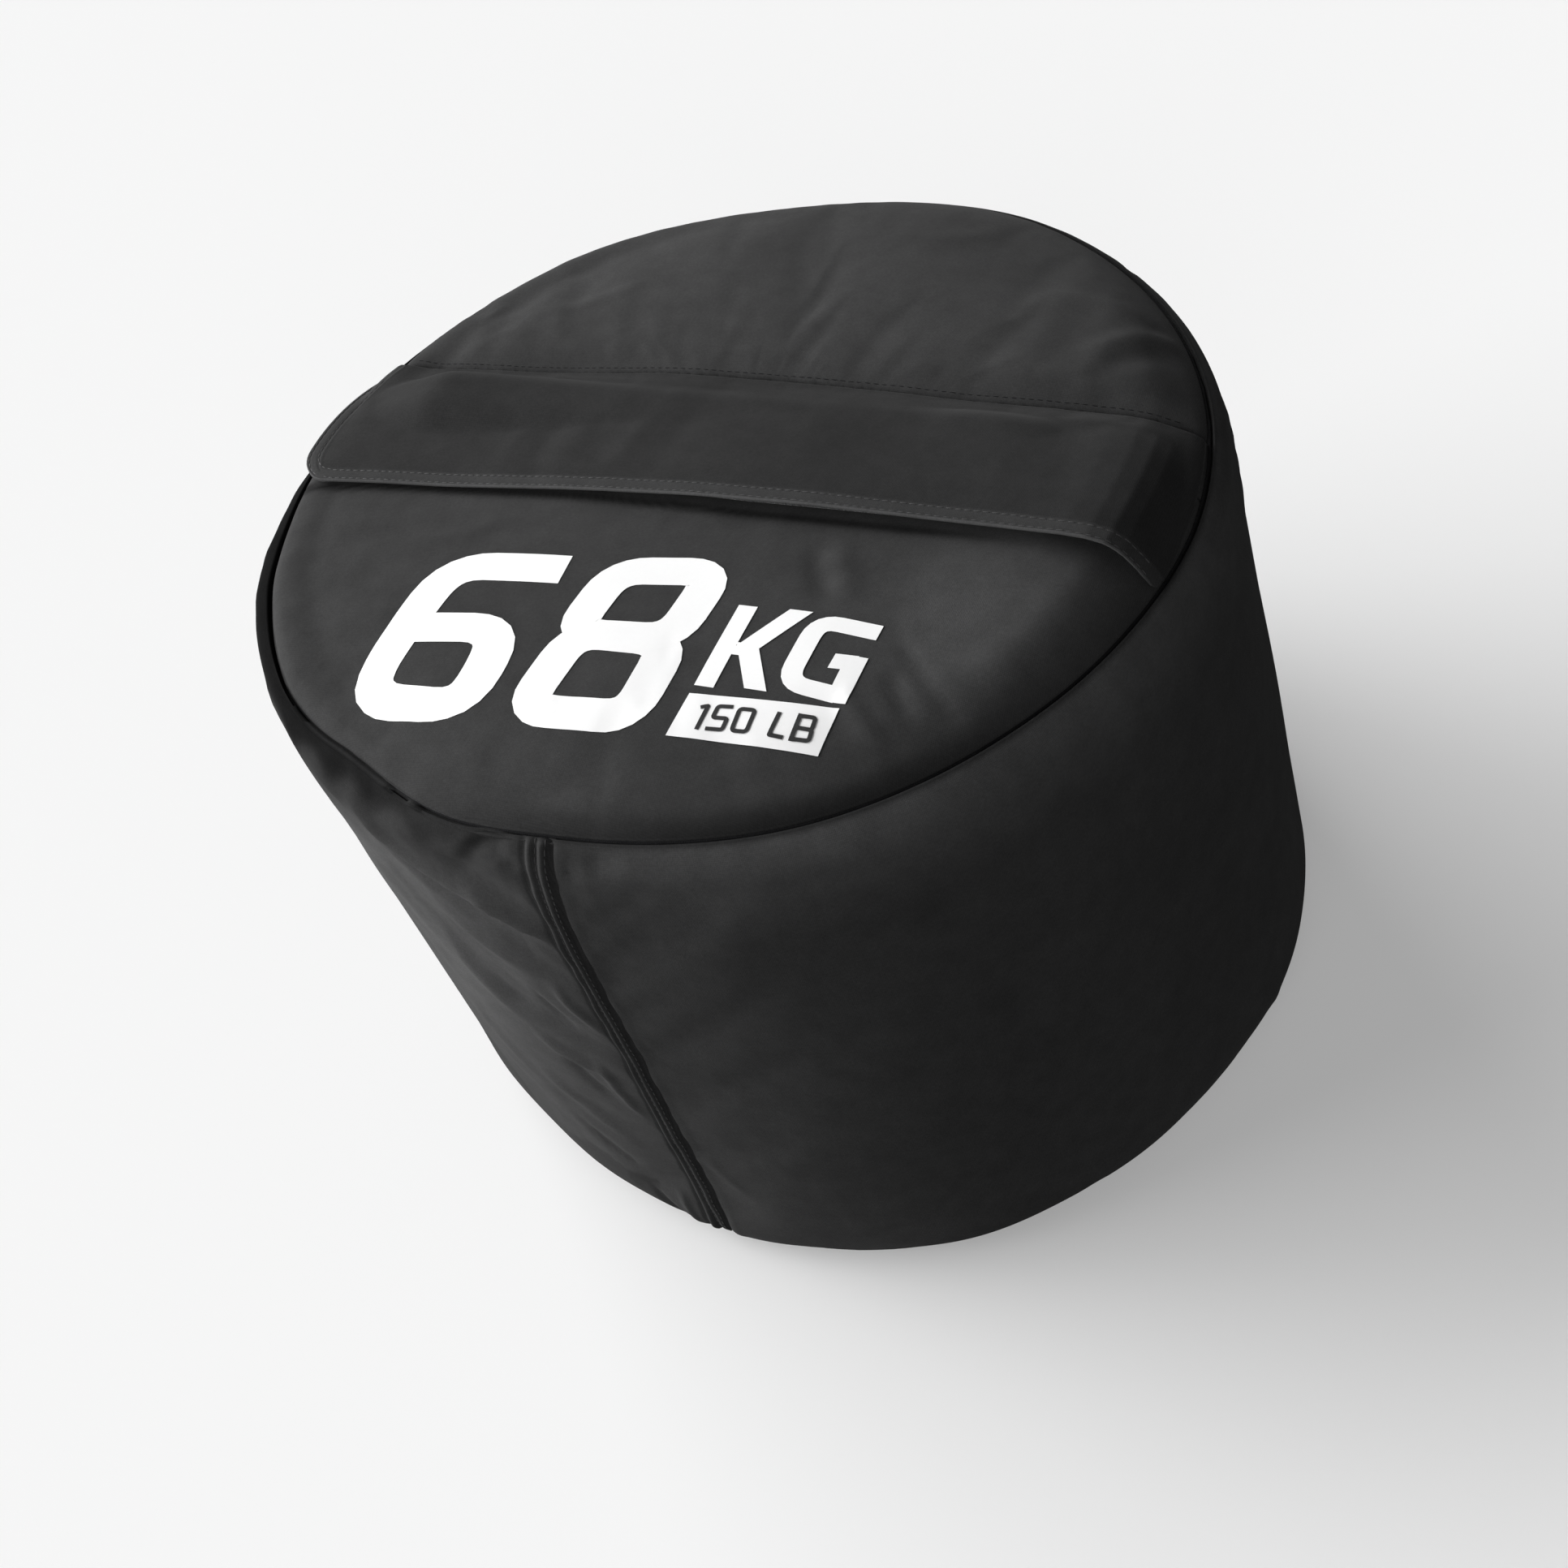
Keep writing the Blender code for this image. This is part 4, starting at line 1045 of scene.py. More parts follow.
def sand_material():
    shader = Shader("Dry sand", 0.95)
    grains, shadow = shader.cells(SAND_CELLS), shader.noise(*SAND_NOISE)
    tone = shader.mix(grains["Color"], SAND_DARK, SAND_PALE)
    normal = shader.bump(grains["Distance"], *SAND_BUMP)
    return shader.finish(tone, shader.cloudy(shadow, *SAND_TONES), normal)


# Geometry Nodes for what repeats

class Tree(Graph):
    """Builds a tree whose inputs are a geometry, named lengths and a material."""

    def __init__(self, name, **lengths):
        self.tree = bpy.data.node_groups.new(name, "GeometryNodeTree")
        self.socket("Geometry", "Geometry")
        self.tree.interface.new_socket(name="Geometry", in_out="OUTPUT", socket_type="NodeSocketGeometry")
        for key, value in lengths.items():
            self.socket(key.replace("_", " "), "Float", value, "DISTANCE")
        self.socket("Material", "Material")
        self.given = self.tree.nodes.new("NodeGroupInput").outputs

    def socket(self, name, kind, default=None, subtype=None):
        made = self.tree.interface.new_socket(name=name, in_out="INPUT", socket_type="NodeSocket" + kind)
        if subtype:
            made.subtype = subtype
        if default is not None:
            made.default_value = default

    def vector(self, *parts):
        return self.step("ShaderNodeCombineXYZ", *enumerate(parts))

    def half(self, name):
        return self.maths("MULTIPLY", self.given[name], 0.5)

    def moved(self, geometry, **settings):
        return self.step("GeometryNodeTransform", ("Geometry", geometry), *settings.items())

    def finish(self, geometry):
        """Every tree ends in real geometry with its material."""
        realised = self.step("GeometryNodeRealizeInstances", ("Geometry", geometry))
        painted = self.step("GeometryNodeSetMaterial", ("Geometry", realised),
                            ("Material", self.given["Material"]))
        self.tree.links.new(painted, self.tree.nodes.new("NodeGroupOutput").inputs[0])
        return self.tree


QUARTER_TURN = (0.0, math.pi / 2, 0.0)


def stitch_tree():
    """One thread stitch after another along each line of the geometry."""
    tree = Tree("Stitch rows", Stitch_length=0.003, Gap=0.001, Thread=0.0005)
    given = tree.given
    line = tree.step("GeometryNodeMeshToCurve", ("Mesh", given["Geometry"]))
    pitch = tree.maths("ADD", given["Stitch length"], given["Gap"])
    places = tree.step("GeometryNodeResampleCurve", ("Curve", line), ("Length", pitch), mode="LENGTH")
    thick = tree.half("Thread")
    bead = tree.step("GeometryNodeMeshUVSphere", ("Segments", 6), ("Rings", 5), ("Radius", 1.0))
    size = tree.vector(tree.half("Stitch length"), thick, thick)
    stitch = tree.moved(tree.moved(bead, Rotation=QUARTER_TURN), Scale=size)
    tangent = tree.step("GeometryNodeInputTangent")
    along = tree.step("FunctionNodeAlignRotationToVector", ("Vector", tangent), axis="X")
    rows = tree.step("GeometryNodeInstanceOnPoints", ("Points", places), ("Instance", stitch),
                     ("Rotation", along))
    return tree.finish(tree.step("GeometryNodeSetShadeSmooth", ("Geometry", rows)))


def coil_tree():
    """One side of a coil zip: a flattened spiral of round wire along X."""
    tree = Tree("Zip coil", Length=0.26, Pitch=0.0014, Wire=0.0006, Width=0.0024, Height=0.0022)
    tree.socket("Start turn", "Float", 0.0)
    given = tree.given
    turns = tree.maths("DIVIDE", given["Length"], given["Pitch"])
    spiral = tree.step("GeometryNodeCurveSpiral", ("Resolution", 9), ("Rotations", turns),
                       ("Start Radius", 0.5), ("End Radius", 0.5), ("Height", given["Length"]))
    begun = tree.moved(spiral, Rotation=tree.vector(0.0, 0.0, given["Start turn"]))
    high, wide = (tree.maths("SUBTRACT", given[name], given["Wire"]) for name in ("Height", "Width"))
    lying = tree.moved(tree.moved(begun, Scale=tree.vector(high, wide, 1.0)), Rotation=QUARTER_TURN)
    wire = tree.step("GeometryNodeCurvePrimitiveCircle", ("Resolution", 6), ("Radius", tree.half("Wire")))
    return tree.finish(tree.step("GeometryNodeCurveToMesh", ("Curve", lying), ("Profile Curve", wire),
                                 ("Fill Caps", True)))


def run_tree(made, tree, **values):
    """Runs a tree on an object with its named inputs, and keeps the result as a plain mesh."""
    modifier = made.modifiers.new(tree.name, "NODES")
    modifier.node_group = tree
    names = {item.name: item.identifier for item in tree.interface.items_tree
             if item.item_type == "SOCKET" and item.in_out == "INPUT"}
    for name, value in values.items():
        modifier[names[name.replace("_", " ")]] = value
    made.update_tag()
    bpy.context.view_layer.update()
    return apply_modifiers(made)


def lines_object(name, lines):
    """Open lines as a mesh of edges only."""
    points, edges = [], []
    for line in lines:
        start = len(points)
        points += [tuple(float(c) for c in p) for p in line]
        edges += [(start + i, start + i + 1) for i in range(len(line) - 1)]
    mesh = bpy.data.meshes.new(name)
    mesh.from_pydata(points, edges, [])
    return show(name, mesh)


trees = {}
materials = {}


def sew(name, lines, body, material="thread", scale=1.0):
    """Rows of stitches along lines that lie on the cloth."""
    made = lines_object(name, lines)
    settings = cloth_settings()
    run_tree(made, trees["stitch"], Stitch_length=settings.stitch * scale, Gap=settings.stitch_gap * scale,
             Thread=settings.thread * scale, Material=materials[material])
    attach(made, body)
    return made


# The bag's own pieces

COIL_COLOUR = (0.024, 0.024, 0.026)
METAL_COLOUR = (0.13, 0.13, 0.135)


class SANDBAG_OT_finishes(bpy.types.Operator):
    """Make the materials and the node trees that the pieces share."""

    bl_idname = "sandbag.finishes"
    bl_label = "Finishes"

    def execute(self, context):
        tones = context.scene.bag_finish
        pitch = context.scene.bag_cloth.weave
        materials["bag"] = cloth_material("Bag cloth", tones.cloth, pitch, 0.35, painted_shading_on=True)
        materials["flap"] = cloth_material("Flap cloth", tones.flap, pitch, 0.35, hem=tones.hem)
        materials["tape"] = cloth_material("Woven tape", tones.tape, pitch * 1.4, 0.8)
        materials["liner"] = cloth_material("Liner cloth", tones.liner, pitch * 0.7, 0.4, sheen=0.05,
                                            roughness=0.55)
        materials["thread"] = thread_material("Thread", tones.thread)
        materials["pile_hook"] = pile_material("Hook tape", tones.tape, 1500.0, 0.5)
        materials["pile_loop"] = pile_material("Loop tape", tones.tape, 1100.0, 0.9)
        materials["coil"] = thread_material("Zip coil", COIL_COLOUR, roughness=0.35)
        materials["metal"] = metal_material("Plated metal", METAL_COLOUR, 0.34)
        materials["ink"] = ink_material("Ink", tones.ink, pitch)
        materials["sand"] = sand_material()
        trees["stitch"] = stitch_tree()
        trees["coil"] = coil_tree()
        return {"FINISHED"}


class SANDBAG_OT_settle(bpy.types.Operator):
    """Let the cloth settle over its fill by simulation."""

    bl_idname = "sandbag.settle"
    bl_label = "Settle cloth"

    def execute(self, context):
        if context.scene.bag_cloth.settle:
            settle_cloth()
        return {"FINISHED"}


# Painted shade below the rim seam at the front left: its direction and width, and each shade's darkness, with
# the distances where it starts to fade and ends
SHADES_AROUND = (214, 50)
SEAM_SHADES = ((0.38, 0.012, 0.028), (0.50, 0.008, 0.015))
# Directions of the painted shadows of the puckers there, in degrees, and how much farther they reach
PUCKER_SHADOWS = (229.0, 238.0, 245.5, 254.0)
PUCKER_SHADOW_WIDTH = 2.4
PUCKER_SHADOW_REACH = 0.65
# Painted shade in the rim seam all round, and on the top beside it at the front right (300 degrees, 38 wide)
SEAM_SHADE_LINE = (0.5, 0.0035, 0.0065)
TOP_EDGE_SHADE = (0.5, 300, 38, 0.0005, 0.0100)
# Painted light on the wall left of the lapped seam: strength, direction and width, and how it starts from
# seam, foot and rim
PANEL_PAINTED_LIGHT = (0.80, 230, 34)
PANEL_SPAN = 90
PANEL_FROM_SEAM = (1.0, 4.0)
PANEL_FROM_FOOT = (0.0, 0.22)
PANEL_FROM_RIM = (0.020, 0.060)
# A band of painted light under the right rim: strength, direction and width, where it ends, and where it
# starts
BAND_PAINTED_LIGHT = (0.75, 324, 42)
BAND_ENDS = (0.010, 0.060)
BAND_STARTS = (0.004, 0.008)
# A patch of painted light on the front panel: strength, place and width
PATCH_PAINTED_LIGHT = (0.34, 0.150, -0.084, 0.045)
# Painted shadow under the flap's lip: darkness, offset, width, and where it ends at the right
LIP_SHADOW = (0.75, 0.0006, 0.0026, 0.10, 0.17)
WALL_STARTS = 0.0008


def soil(made):
    """Marks each point of the cloth with painted shading: painted shade up to 1 deep in the rim seam, and
    below nought painted light that makes it paler.
    """
    co = positions(made)
    x, y, height = co.T
    degrees = bearing(x, y)
    out = np.hypot(x, y) - rim_reach(degrees)
    away = np.hypot(out, np.maximum(SEAM_HEIGHT - height, 0))
    # Painted shade under the front left rim, reaching farther in the painted shadows of the puckers
    near = away / (1 + PUCKER_SHADOW_REACH * sum(bell(degrees % 360 - centre, PUCKER_SHADOW_WIDTH) for centre in PUCKER_SHADOWS))
    shades = sum(dark * fading(near, start, end) for dark, start, end in SEAM_SHADES)
    wall = plateau(degrees, *SHADES_AROUND) * shades
    dark, start, end = SEAM_SHADE_LINE
    wall = np.maximum(wall, dark * fading(away, start, end))
    # Painted light on the wall left of the lapped seam and under the right rim
    from_seam = (SIDE_SEAM_DEGREES - degrees) % 360
    pale, centre, width = PANEL_PAINTED_LIGHT
    panel = (from_seam < PANEL_SPAN) * ramp(from_seam, *PANEL_FROM_SEAM) * plateau(degrees, centre, width)
    panel = panel * ramp(height, *PANEL_FROM_FOOT)
    wall -= pale * panel * ramp(away, *PANEL_FROM_RIM)
    pale, centre, width = BAND_PAINTED_LIGHT
    wall -= pale * plateau(degrees, centre, width) * fading(away, *BAND_ENDS) * ramp(away, *BAND_STARTS)
    # Painted shade beside the front right rim and under the lip, and painted light on a patch of the front
    # panel
    dark, centre, width, start, end = TOP_EDGE_SHADE
    top = dark * around(degrees, centre, width) * fading(-out, start, end)
    pale, patch_x, patch_y, width = PATCH_PAINTED_LIGHT
    top -= pale * bell(np.hypot(x - patch_x, y - patch_y), width)
    dark, offset, width, start, end = LIP_SHADOW
    top += dark * bell(y - FLAP_FRONT_Y - offset, width) * fading(x, start, end)
    mark(made, "soil", np.where(out > WALL_STARTS, wall, top))


WALL_COLUMNS = 400
SEAM_CROWDING = 0.117


def wall_columns():
    """Directions of the wall's columns, closer together at the lapped seam."""
    even = np.linspace(0, 1, WALL_COLUMNS, endpoint=False)
    crowd = SEAM_CROWDING * np.sin(2 * np.pi * even) * (0.5 + 0.5 * np.cos(2 * np.pi * even))
    return SIDE_SEAM_DEGREES + 360 * (even - crowd)


def wall_grid(rows, normal, degrees, steps, lift=0.0):
    """Places on the outside of the wall, with its relief and maybe lifted off it."""
    out, height = rows.T
    out, height, steps = (a.reshape(len(rows), *(1,) * (degrees.ndim - 1)) for a in (out, height, steps))
    relief = wall_relief(degrees, height, steps) + lift
    across, up = (normal[:, k].reshape(height.shape) for k in (0, 1))
    return place(degrees, wall_radius(degrees, out, height, steps) + relief * across, height + relief * up)


SIDE_STITCH_SHARES = (-0.17, 0.62)
STITCHES_FROM_RIM = 0.009
STITCHES_FROM_FOOT = 0.004
ON_CLOTH = 0.0001


class SANDBAG_OT_side(bpy.types.Operator):
    """Build the side wall, with its rolled shoulder, lapped seam and folds."""

    bl_idname = "sandbag.side"
    bl_label = "Side wall"

    def execute(self, context):
        rows, normal, steps, _ = wall_rows()
        degrees = wall_columns()
        points = wall_grid(rows, normal, degrees[None, :], steps)
        round_it = np.append(degrees, degrees[0] + 360)
        u, v = np.meshgrid(np.radians(round_it) * (RIM_RADIUS + SHOULDER_OUT), -steps)
        side = skin("side_wall_cloth", points, u, v, materials["bag"], closed=True)
        hand_over(thicken(side), "bag", "bag_cloth", "side_wall")
        # Painted shade and painted light on the wall's cloth
        soil(side)
        self.stitches(rows, normal, steps)
        return {"FINISHED"}

    def stitches(self, rows, normal, steps):
        """Two rows down the lapped seam, one beside each ridge."""
        heights = rows[:, 1]
        sewn = (steps > STITCHES_FROM_RIM) & (heights > BOTTOM_SEAM_HEIGHT + STITCHES_FROM_FOOT)
        lines = []
        for share in SIDE_STITCH_SHARES:
            degrees = SIDE_SEAM_DEGREES + np.degrees(lap_middle(heights, share) / (RIM_RADIUS + SHOULDER_OUT))
            lines.append(wall_grid(rows, normal, degrees, steps, ON_CLOTH)[sewn])
        sew("side_seam_stitches", lines, "bag")


BASE_COLUMNS = 240
BASE_SHARES = (0.985, 0.965, *np.linspace(0.94, 0.02, 26), 0.0)
BASE_EDGE = ((-0.0045, 0.0015), (-0.0016, -0.0006))
BASE_LUMPS = 0.0004


class SANDBAG_OT_base(bpy.types.Operator):
    """Build the round base, with its turned-up edge."""

    bl_idname = "sandbag.base"
    bl_label = "Base"

    def execute(self, context):
        degrees = np.linspace(0, 360, BASE_COLUMNS, endpoint=False)
        seam_out, _ = foot_curve([BOTTOM_SEAM_TURN])[0]
        rows = [(seam_out + step, BOTTOM_SEAM_HEIGHT + up) for step, up in BASE_EDGE]
        rows += foot_curve(np.linspace(BOTTOM_SEAM_TURN + 0.03, math.pi / 2, 9))
        rings = [place(degrees, outline(degrees, z) + out, z) for out, z in rows]
        for share in BASE_SHARES:
            ring = place(degrees, share * (outline(degrees, 0.0) + SHOULDER_OUT - FOOT_TUCK), 0.0)
            uneven = np.clip(lumps(ring[:, 0], ring[:, 1], 21), 0, 2)
            ring[:, 2] = BASE_LUMPS * uneven * ramp(1 - share, 0.02, 0.2)
            rings.append(ring)
        points = np.array(rings)
        points[1:8, :, 2] += BASE_LUMPS * gathers(degrees, 5) * bell(np.arange(7)[:, None] - 3, 2.5)
        points[..., 2] = np.maximum(points[..., 2], 0.0)
        base, work = round_skin("base_cloth", points)
        keep(work, base.data)
        hand_over(thicken(base), "bag", "bag_cloth", "bottom_panel")
        return {"FINISHED"}


TOP_COLUMNS = 400
TOP_SHARES = np.concatenate([np.linspace(0, 0.9, 64), 0.9 + 0.1 * np.sin(np.linspace(0, np.pi / 2, 26)[1:])])
INSIDE_RIM = 0.0002
OVERHANG_FROM_SHARE = 0.93
# The top's rim inside the rim seam: (share of the overhang, step in, drop below the seam)
RIM_TURN = ((0.9, 0.0, 0.0054), (0.0, 0.0009, GROOVE_DEPTH))
EDGE_ROLL_WIDTH = 0.0032
OPENING_ROLL = 0.0012
SEAM_ROLL = 0.0020
CLOSED_GAP = 0.0002
OPENING_TAPER = 0.003


def opening_y(x, side):
    """Edge of the opening: it closes to a seam past the zip's ends."""
    open_share = fading(np.abs(x), OPENING_ENDS - OPENING_TAPER, OPENING_ENDS)
    return ZIP_Y + side * (CLOSED_GAP + (ZIP_OPENING / 2 - CLOSED_GAP) * open_share)


def top_shell(name, edges):
    """The part of the top inside some edges across it, with its rim turned down into the rim seam."""
    degrees = SIDE_SEAM_DEGREES + np.arange(TOP_COLUMNS) * 360 / TOP_COLUMNS
    reach = rim_reach(degrees) - INSIDE_RIM
    over = rim_overhang(degrees)
    rings = []
    for share in TOP_SHARES:
        ring = place(degrees, share * reach + over * ramp(share, OVERHANG_FROM_SHARE, 1.0), 0.0)
        ring[:, 2] = top_surface(ring[:, 0], ring[:, 1])
        rings.append(ring)
    rings[-1][:, 2] = np.minimum(rings[-1][:, 2], SEAM_HEIGHT - SEAM_DIP / 2)
    for share, step, drop in RIM_TURN:
        rings.append(place(degrees, reach + over * share - step, SEAM_HEIGHT - drop))
    made, work = round_skin(name, np.array(rings))
    for line, side, depth in edges:
        cut_across(work, line, side)
        turn_down(work, line, side, depth)
    keep(work, made.data)
    return made


def shift_by(work, line, way):
    shifts = line(np.array([v.co.x for v in work.verts]))
    for vertex, shift in zip(work.verts, shifts):
        vertex.co.y += way * shift


def cut_across(work, line, side):
    """Cuts the top along a line y = line(x), and keeps what lies on the given side of it."""
    shift_by(work, line, -1)
    bmesh.ops.bisect_plane(work, geom=work.verts[:] + work.edges[:] + work.faces[:], dist=MERGED / 10,
                           plane_co=(0, 0, 0), plane_no=(0, -side, 0), clear_outer=True)
    shift_by(work, line, 1)


def turn_down(work, line, side, depth):
    """Rolls the cut edge of the cloth down, as a folded or sewn edge does."""
    edges = line(np.array([v.co.x for v in work.verts]))
    for vertex, edge in zip(work.verts, edges):
        share = 1 - side * (vertex.co.y - edge) / EDGE_ROLL_WIDTH
        if share > 0:
            vertex.co.z -= depth * (1 - math.sqrt(max(0.0, 1 - share * share)))


TOP_STITCH_INSET = 0.0034
OPENING_STITCH_ENDS = 0.186
SEAM_STITCH_ENDS = 0.012


class SANDBAG_OT_top(bpy.types.Operator):
    """Build the top: the front panel, the strip behind the zip and the rear panel."""

    bl_idname = "sandbag.top"
    bl_label = "Top panels"

    def execute(self, context):
        front_edge = (lambda x: opening_y(x, -1), -1, OPENING_ROLL)
        strip_edges = [(lambda x: opening_y(x, 1), 1, OPENING_ROLL), (seam_y, -1, SEAM_ROLL)]
        for name, node, edges in (("top_front_cloth", "top_front_panel", [front_edge]),
                                  ("rear_facing_cloth", "rear_facing_strip", strip_edges),
                                  ("top_rear_cloth", "top_rear_panel", [(seam_y, 1, SEAM_ROLL)])):
            made = hand_over(thicken(top_shell(name, edges)), "bag", "bag_cloth", node)
            # Painted shade and painted light on each top piece
            soil(made)
        x = np.linspace(-OPENING_STITCH_ENDS, OPENING_STITCH_ENDS, 300)
        rows = [(x, opening_y(x, side) + side * TOP_STITCH_INSET) for side in (-1, 1)]
        sew("opening_stitches", [on_top(*row, ON_CLOTH) for row in rows], "bag")
        ends = [float(rim_x(np.array(FLAP_REAR_Y), side, SEAM_STITCH_ENDS)) for side in (-1, 1)]
        x = np.linspace(*ends, 260)
        sew("rear_seam_stitches", [on_top(x, seam_y(x) + TOP_STITCH_INSET, -ON_CLOTH)], "bag", "tape")
        return {"FINISHED"}


def on_top(x, y, lift):
    return np.stack([x, y, top_surface(x, y) + lift], -1)


# The flap

FLAP_COLUMNS = 260
FLAP_SHARES = np.concatenate([np.linspace(0, 0.12, 15)[:-1], np.linspace(0.12, 0.84, 27)[:-1],
                              np.linspace(0.84, 1.0, 25)])
FLAP_LIFT = 0.0004
LIP_BLUR = 0.012
CLIMB_POWER = 3.0
FLAP_FOLDS_FADE_SHARE = 0.2
# The hollow behind the lip: depth, and its place and width as shares of the flap
LIP_HOLLOW = (0.0009, 0.045, 0.05)
ZIP_CLEARANCE_BLUR = 0.010
ZIP_CLEARANCE_SOFTNESS = 0.0018
END_LOW = 0.0024
CLOTH_GAP = 0.0006
SEWN_IN = (0.0030, 0.962, 1.0)


def flap_share(x, y):
    """Share of the way from the flap's lip to its sewn line."""
    return (y - FLAP_FRONT_Y) / (seam_y(x) - FLAP_FRONT_Y)


def flap_top(x, share):
    """Height of the flap's upper face: it climbs from its sewn line over the zip to the free lip."""
    rear = top_surface(x, seam_y(x)) + FLAP_LIFT
    y = FLAP_FRONT_Y + share * (seam_y(x) - FLAP_FRONT_Y)
    height = rear + (soft_table(x, LIP_TOP, LIP_BLUR) - rear) * (1 - share ** CLIMB_POWER)
    depth, at, width = LIP_HOLLOW
    height = height - depth * bell(share - at, width)
    height = height + fold_relief(x, y, FLAP_FOLDS) * ramp(1 - share, 0.0, FLAP_FOLDS_FADE_SHARE)
    beside = np.maximum(np.abs(y - ZIP_Y) - SLIDER_HALF_WIDTH, 0)
    over_zip = soft_table(x, ZIP_CLEARANCE, ZIP_CLEARANCE_BLUR) - ZIP_HUMP * beside ** 2
    height = over_zip + softly_positive(height - over_zip, ZIP_CLEARANCE_SOFTNESS)
    low = SEAM_HEIGHT - END_LOW
    height = low + (height - low) * np.interp(rim_x(y, 1, 0.0) - x, *zip(*END_BEND))
    under = top_surface(x, y) + CLOTH + CLOTH_GAP
    height = under + softly_positive(height - under, CLOTH_GAP)
    depth, start, end = SEWN_IN
    return height - depth * ramp(share, start, end)


def softly_positive(value, blur):
    """The value where it is above the blur, and below that a remainder that dies away."""
    return np.where(value > blur, value, blur * np.exp(np.minimum(value - blur, 0) / blur))


def flap_ends(y):
    """x of the flap's left and right end."""
    away = y - FLAP_FRONT_Y
    left = rim_x(y, -1, FLAP_END_INSET_LEFT) + corner_cut(away, FLAP_CORNER_LEFT)
    return left, rim_x(y, 1, FLAP_END_INSET_RIGHT) - corner_cut(away, FLAP_CORNER_RIGHT)


def flap_grid():
    share = FLAP_SHARES[:, None]
    across = np.sin(np.pi / 2 * np.linspace(-1, 1, FLAP_COLUMNS))[None, :]
    left, right = flap_ends(FLAP_FRONT_Y + share * (FLAP_REAR_Y - SEAM_BOW - FLAP_FRONT_Y))
    x = (left + right) / 2 + across * (right - left) / 2
    return x, FLAP_FRONT_Y + share * (seam_y(x) - FLAP_FRONT_Y), share + 0 * x


END_SLOPE = 0.9


def flap_edge(x, y):
    """Distance inside the flap's free edges, and inside the hemmed ones, which leave out the right end."""
    left, right = flap_ends(y)
    front = y - FLAP_FRONT_Y
    free = np.minimum(np.minimum(x - left, right - x) * END_SLOPE, front)
    return np.maximum(free, 0.0), np.maximum(np.minimum((x - left) * END_SLOPE, front), 0.0)


BODY_THICK = CLOTH * 0.9
HEM_THICK = CLOTH * 1.3
EDGE_ROUNDING = 0.0014
# Where the hem's fold ends, before and after the hem's width, and its rows of stitches
HEM_STEP = (-0.0006, 0.0010)
OUTER_STITCH = 0.0018
INNER_STITCH = 0.0014
DIMPLE = 0.00040
OUTER_DIMPLE_WIDTH, INNER_DIMPLE_WIDTH = 0.0008, 0.0009


def flap_faces(x, share, edge, hemmed):
    """Upper and lower face: a rounded edge, a thicker hem, and dimples along its two rows of stitches."""
    hem = cloth_settings().hem
    folded = (HEM_THICK - BODY_THICK) * fading(hemmed, hem + HEM_STEP[0], hem + HEM_STEP[1])
    rounded = np.sqrt(np.clip(1 - (1 - np.clip(edge / EDGE_ROUNDING, 0, 1)) ** 2, 0, 1))
    dimple = DIMPLE * (bell(hemmed - OUTER_STITCH, OUTER_DIMPLE_WIDTH)
                       + bell(hemmed - hem + INNER_STITCH, INNER_DIMPLE_WIDTH))
    middle = flap_top(x, share) - BODY_THICK / 2
    upper = middle + ((BODY_THICK + folded) / 2 - dimple) * rounded
    return middle - (BODY_THICK + folded) / 2 * rounded, upper


# How pale the hem is, and its outer edge, paler still with a painted highlight, with the distance over which
# that fades
HEM_PALE = 0.32
HEM_FADE = 0.0012
EDGE_HIGHLIGHT_PALE = 0.68
EDGE_HIGHLIGHT_FADE = (0.0006, 0.0016)
STITCH_ROW_TOP = 0.036
ON_FLAP = 0.00008

# Tapes of the hook-and-loop closure: distance behind the lip, width, length and thickness
HOOK_FRONT, HOOK_WIDTH, HOOK_THICK = 0.0085, 0.0165, 0.0009
LOOP_FRONT, LOOP_WIDTH, LOOP_THICK = 0.0075, 0.0185, 0.0014
TAPE_LENGTH = 0.290
TAPE_STITCH_INSET = 0.0014
TAPE_STITCH_SCALE = 0.8
UNDER_FLAP = 0.012
TAPE_GAP = 0.0001
LOOP_GAP = 0.0002
LOOP_ROUNDING = 0.0025
LOOP_EDGE_SHARE = 0.35
STITCH_LEVEL_SHARE = 0.85
ON_TAPE = 0.00005


def tape_grid(front, width, rows, columns):
    ends = TAPE_LENGTH / 2
    return np.meshgrid(np.linspace(-ends, ends, columns), np.linspace(front, front + width, rows))


def tape_stitches(name, body, front, width, height):
    """Two rows along a tape's long edges, at the height that a function gives."""
    ends = TAPE_LENGTH / 2 - TAPE_STITCH_INSET
    x = np.linspace(-ends, ends, 160)
    rows = [np.full_like(x, front + inset) for inset in (TAPE_STITCH_INSET, width - TAPE_STITCH_INSET)]
    return sew(name, [np.stack([x, y, height(x, y)], -1) for y in rows], body, scale=TAPE_STITCH_SCALE)


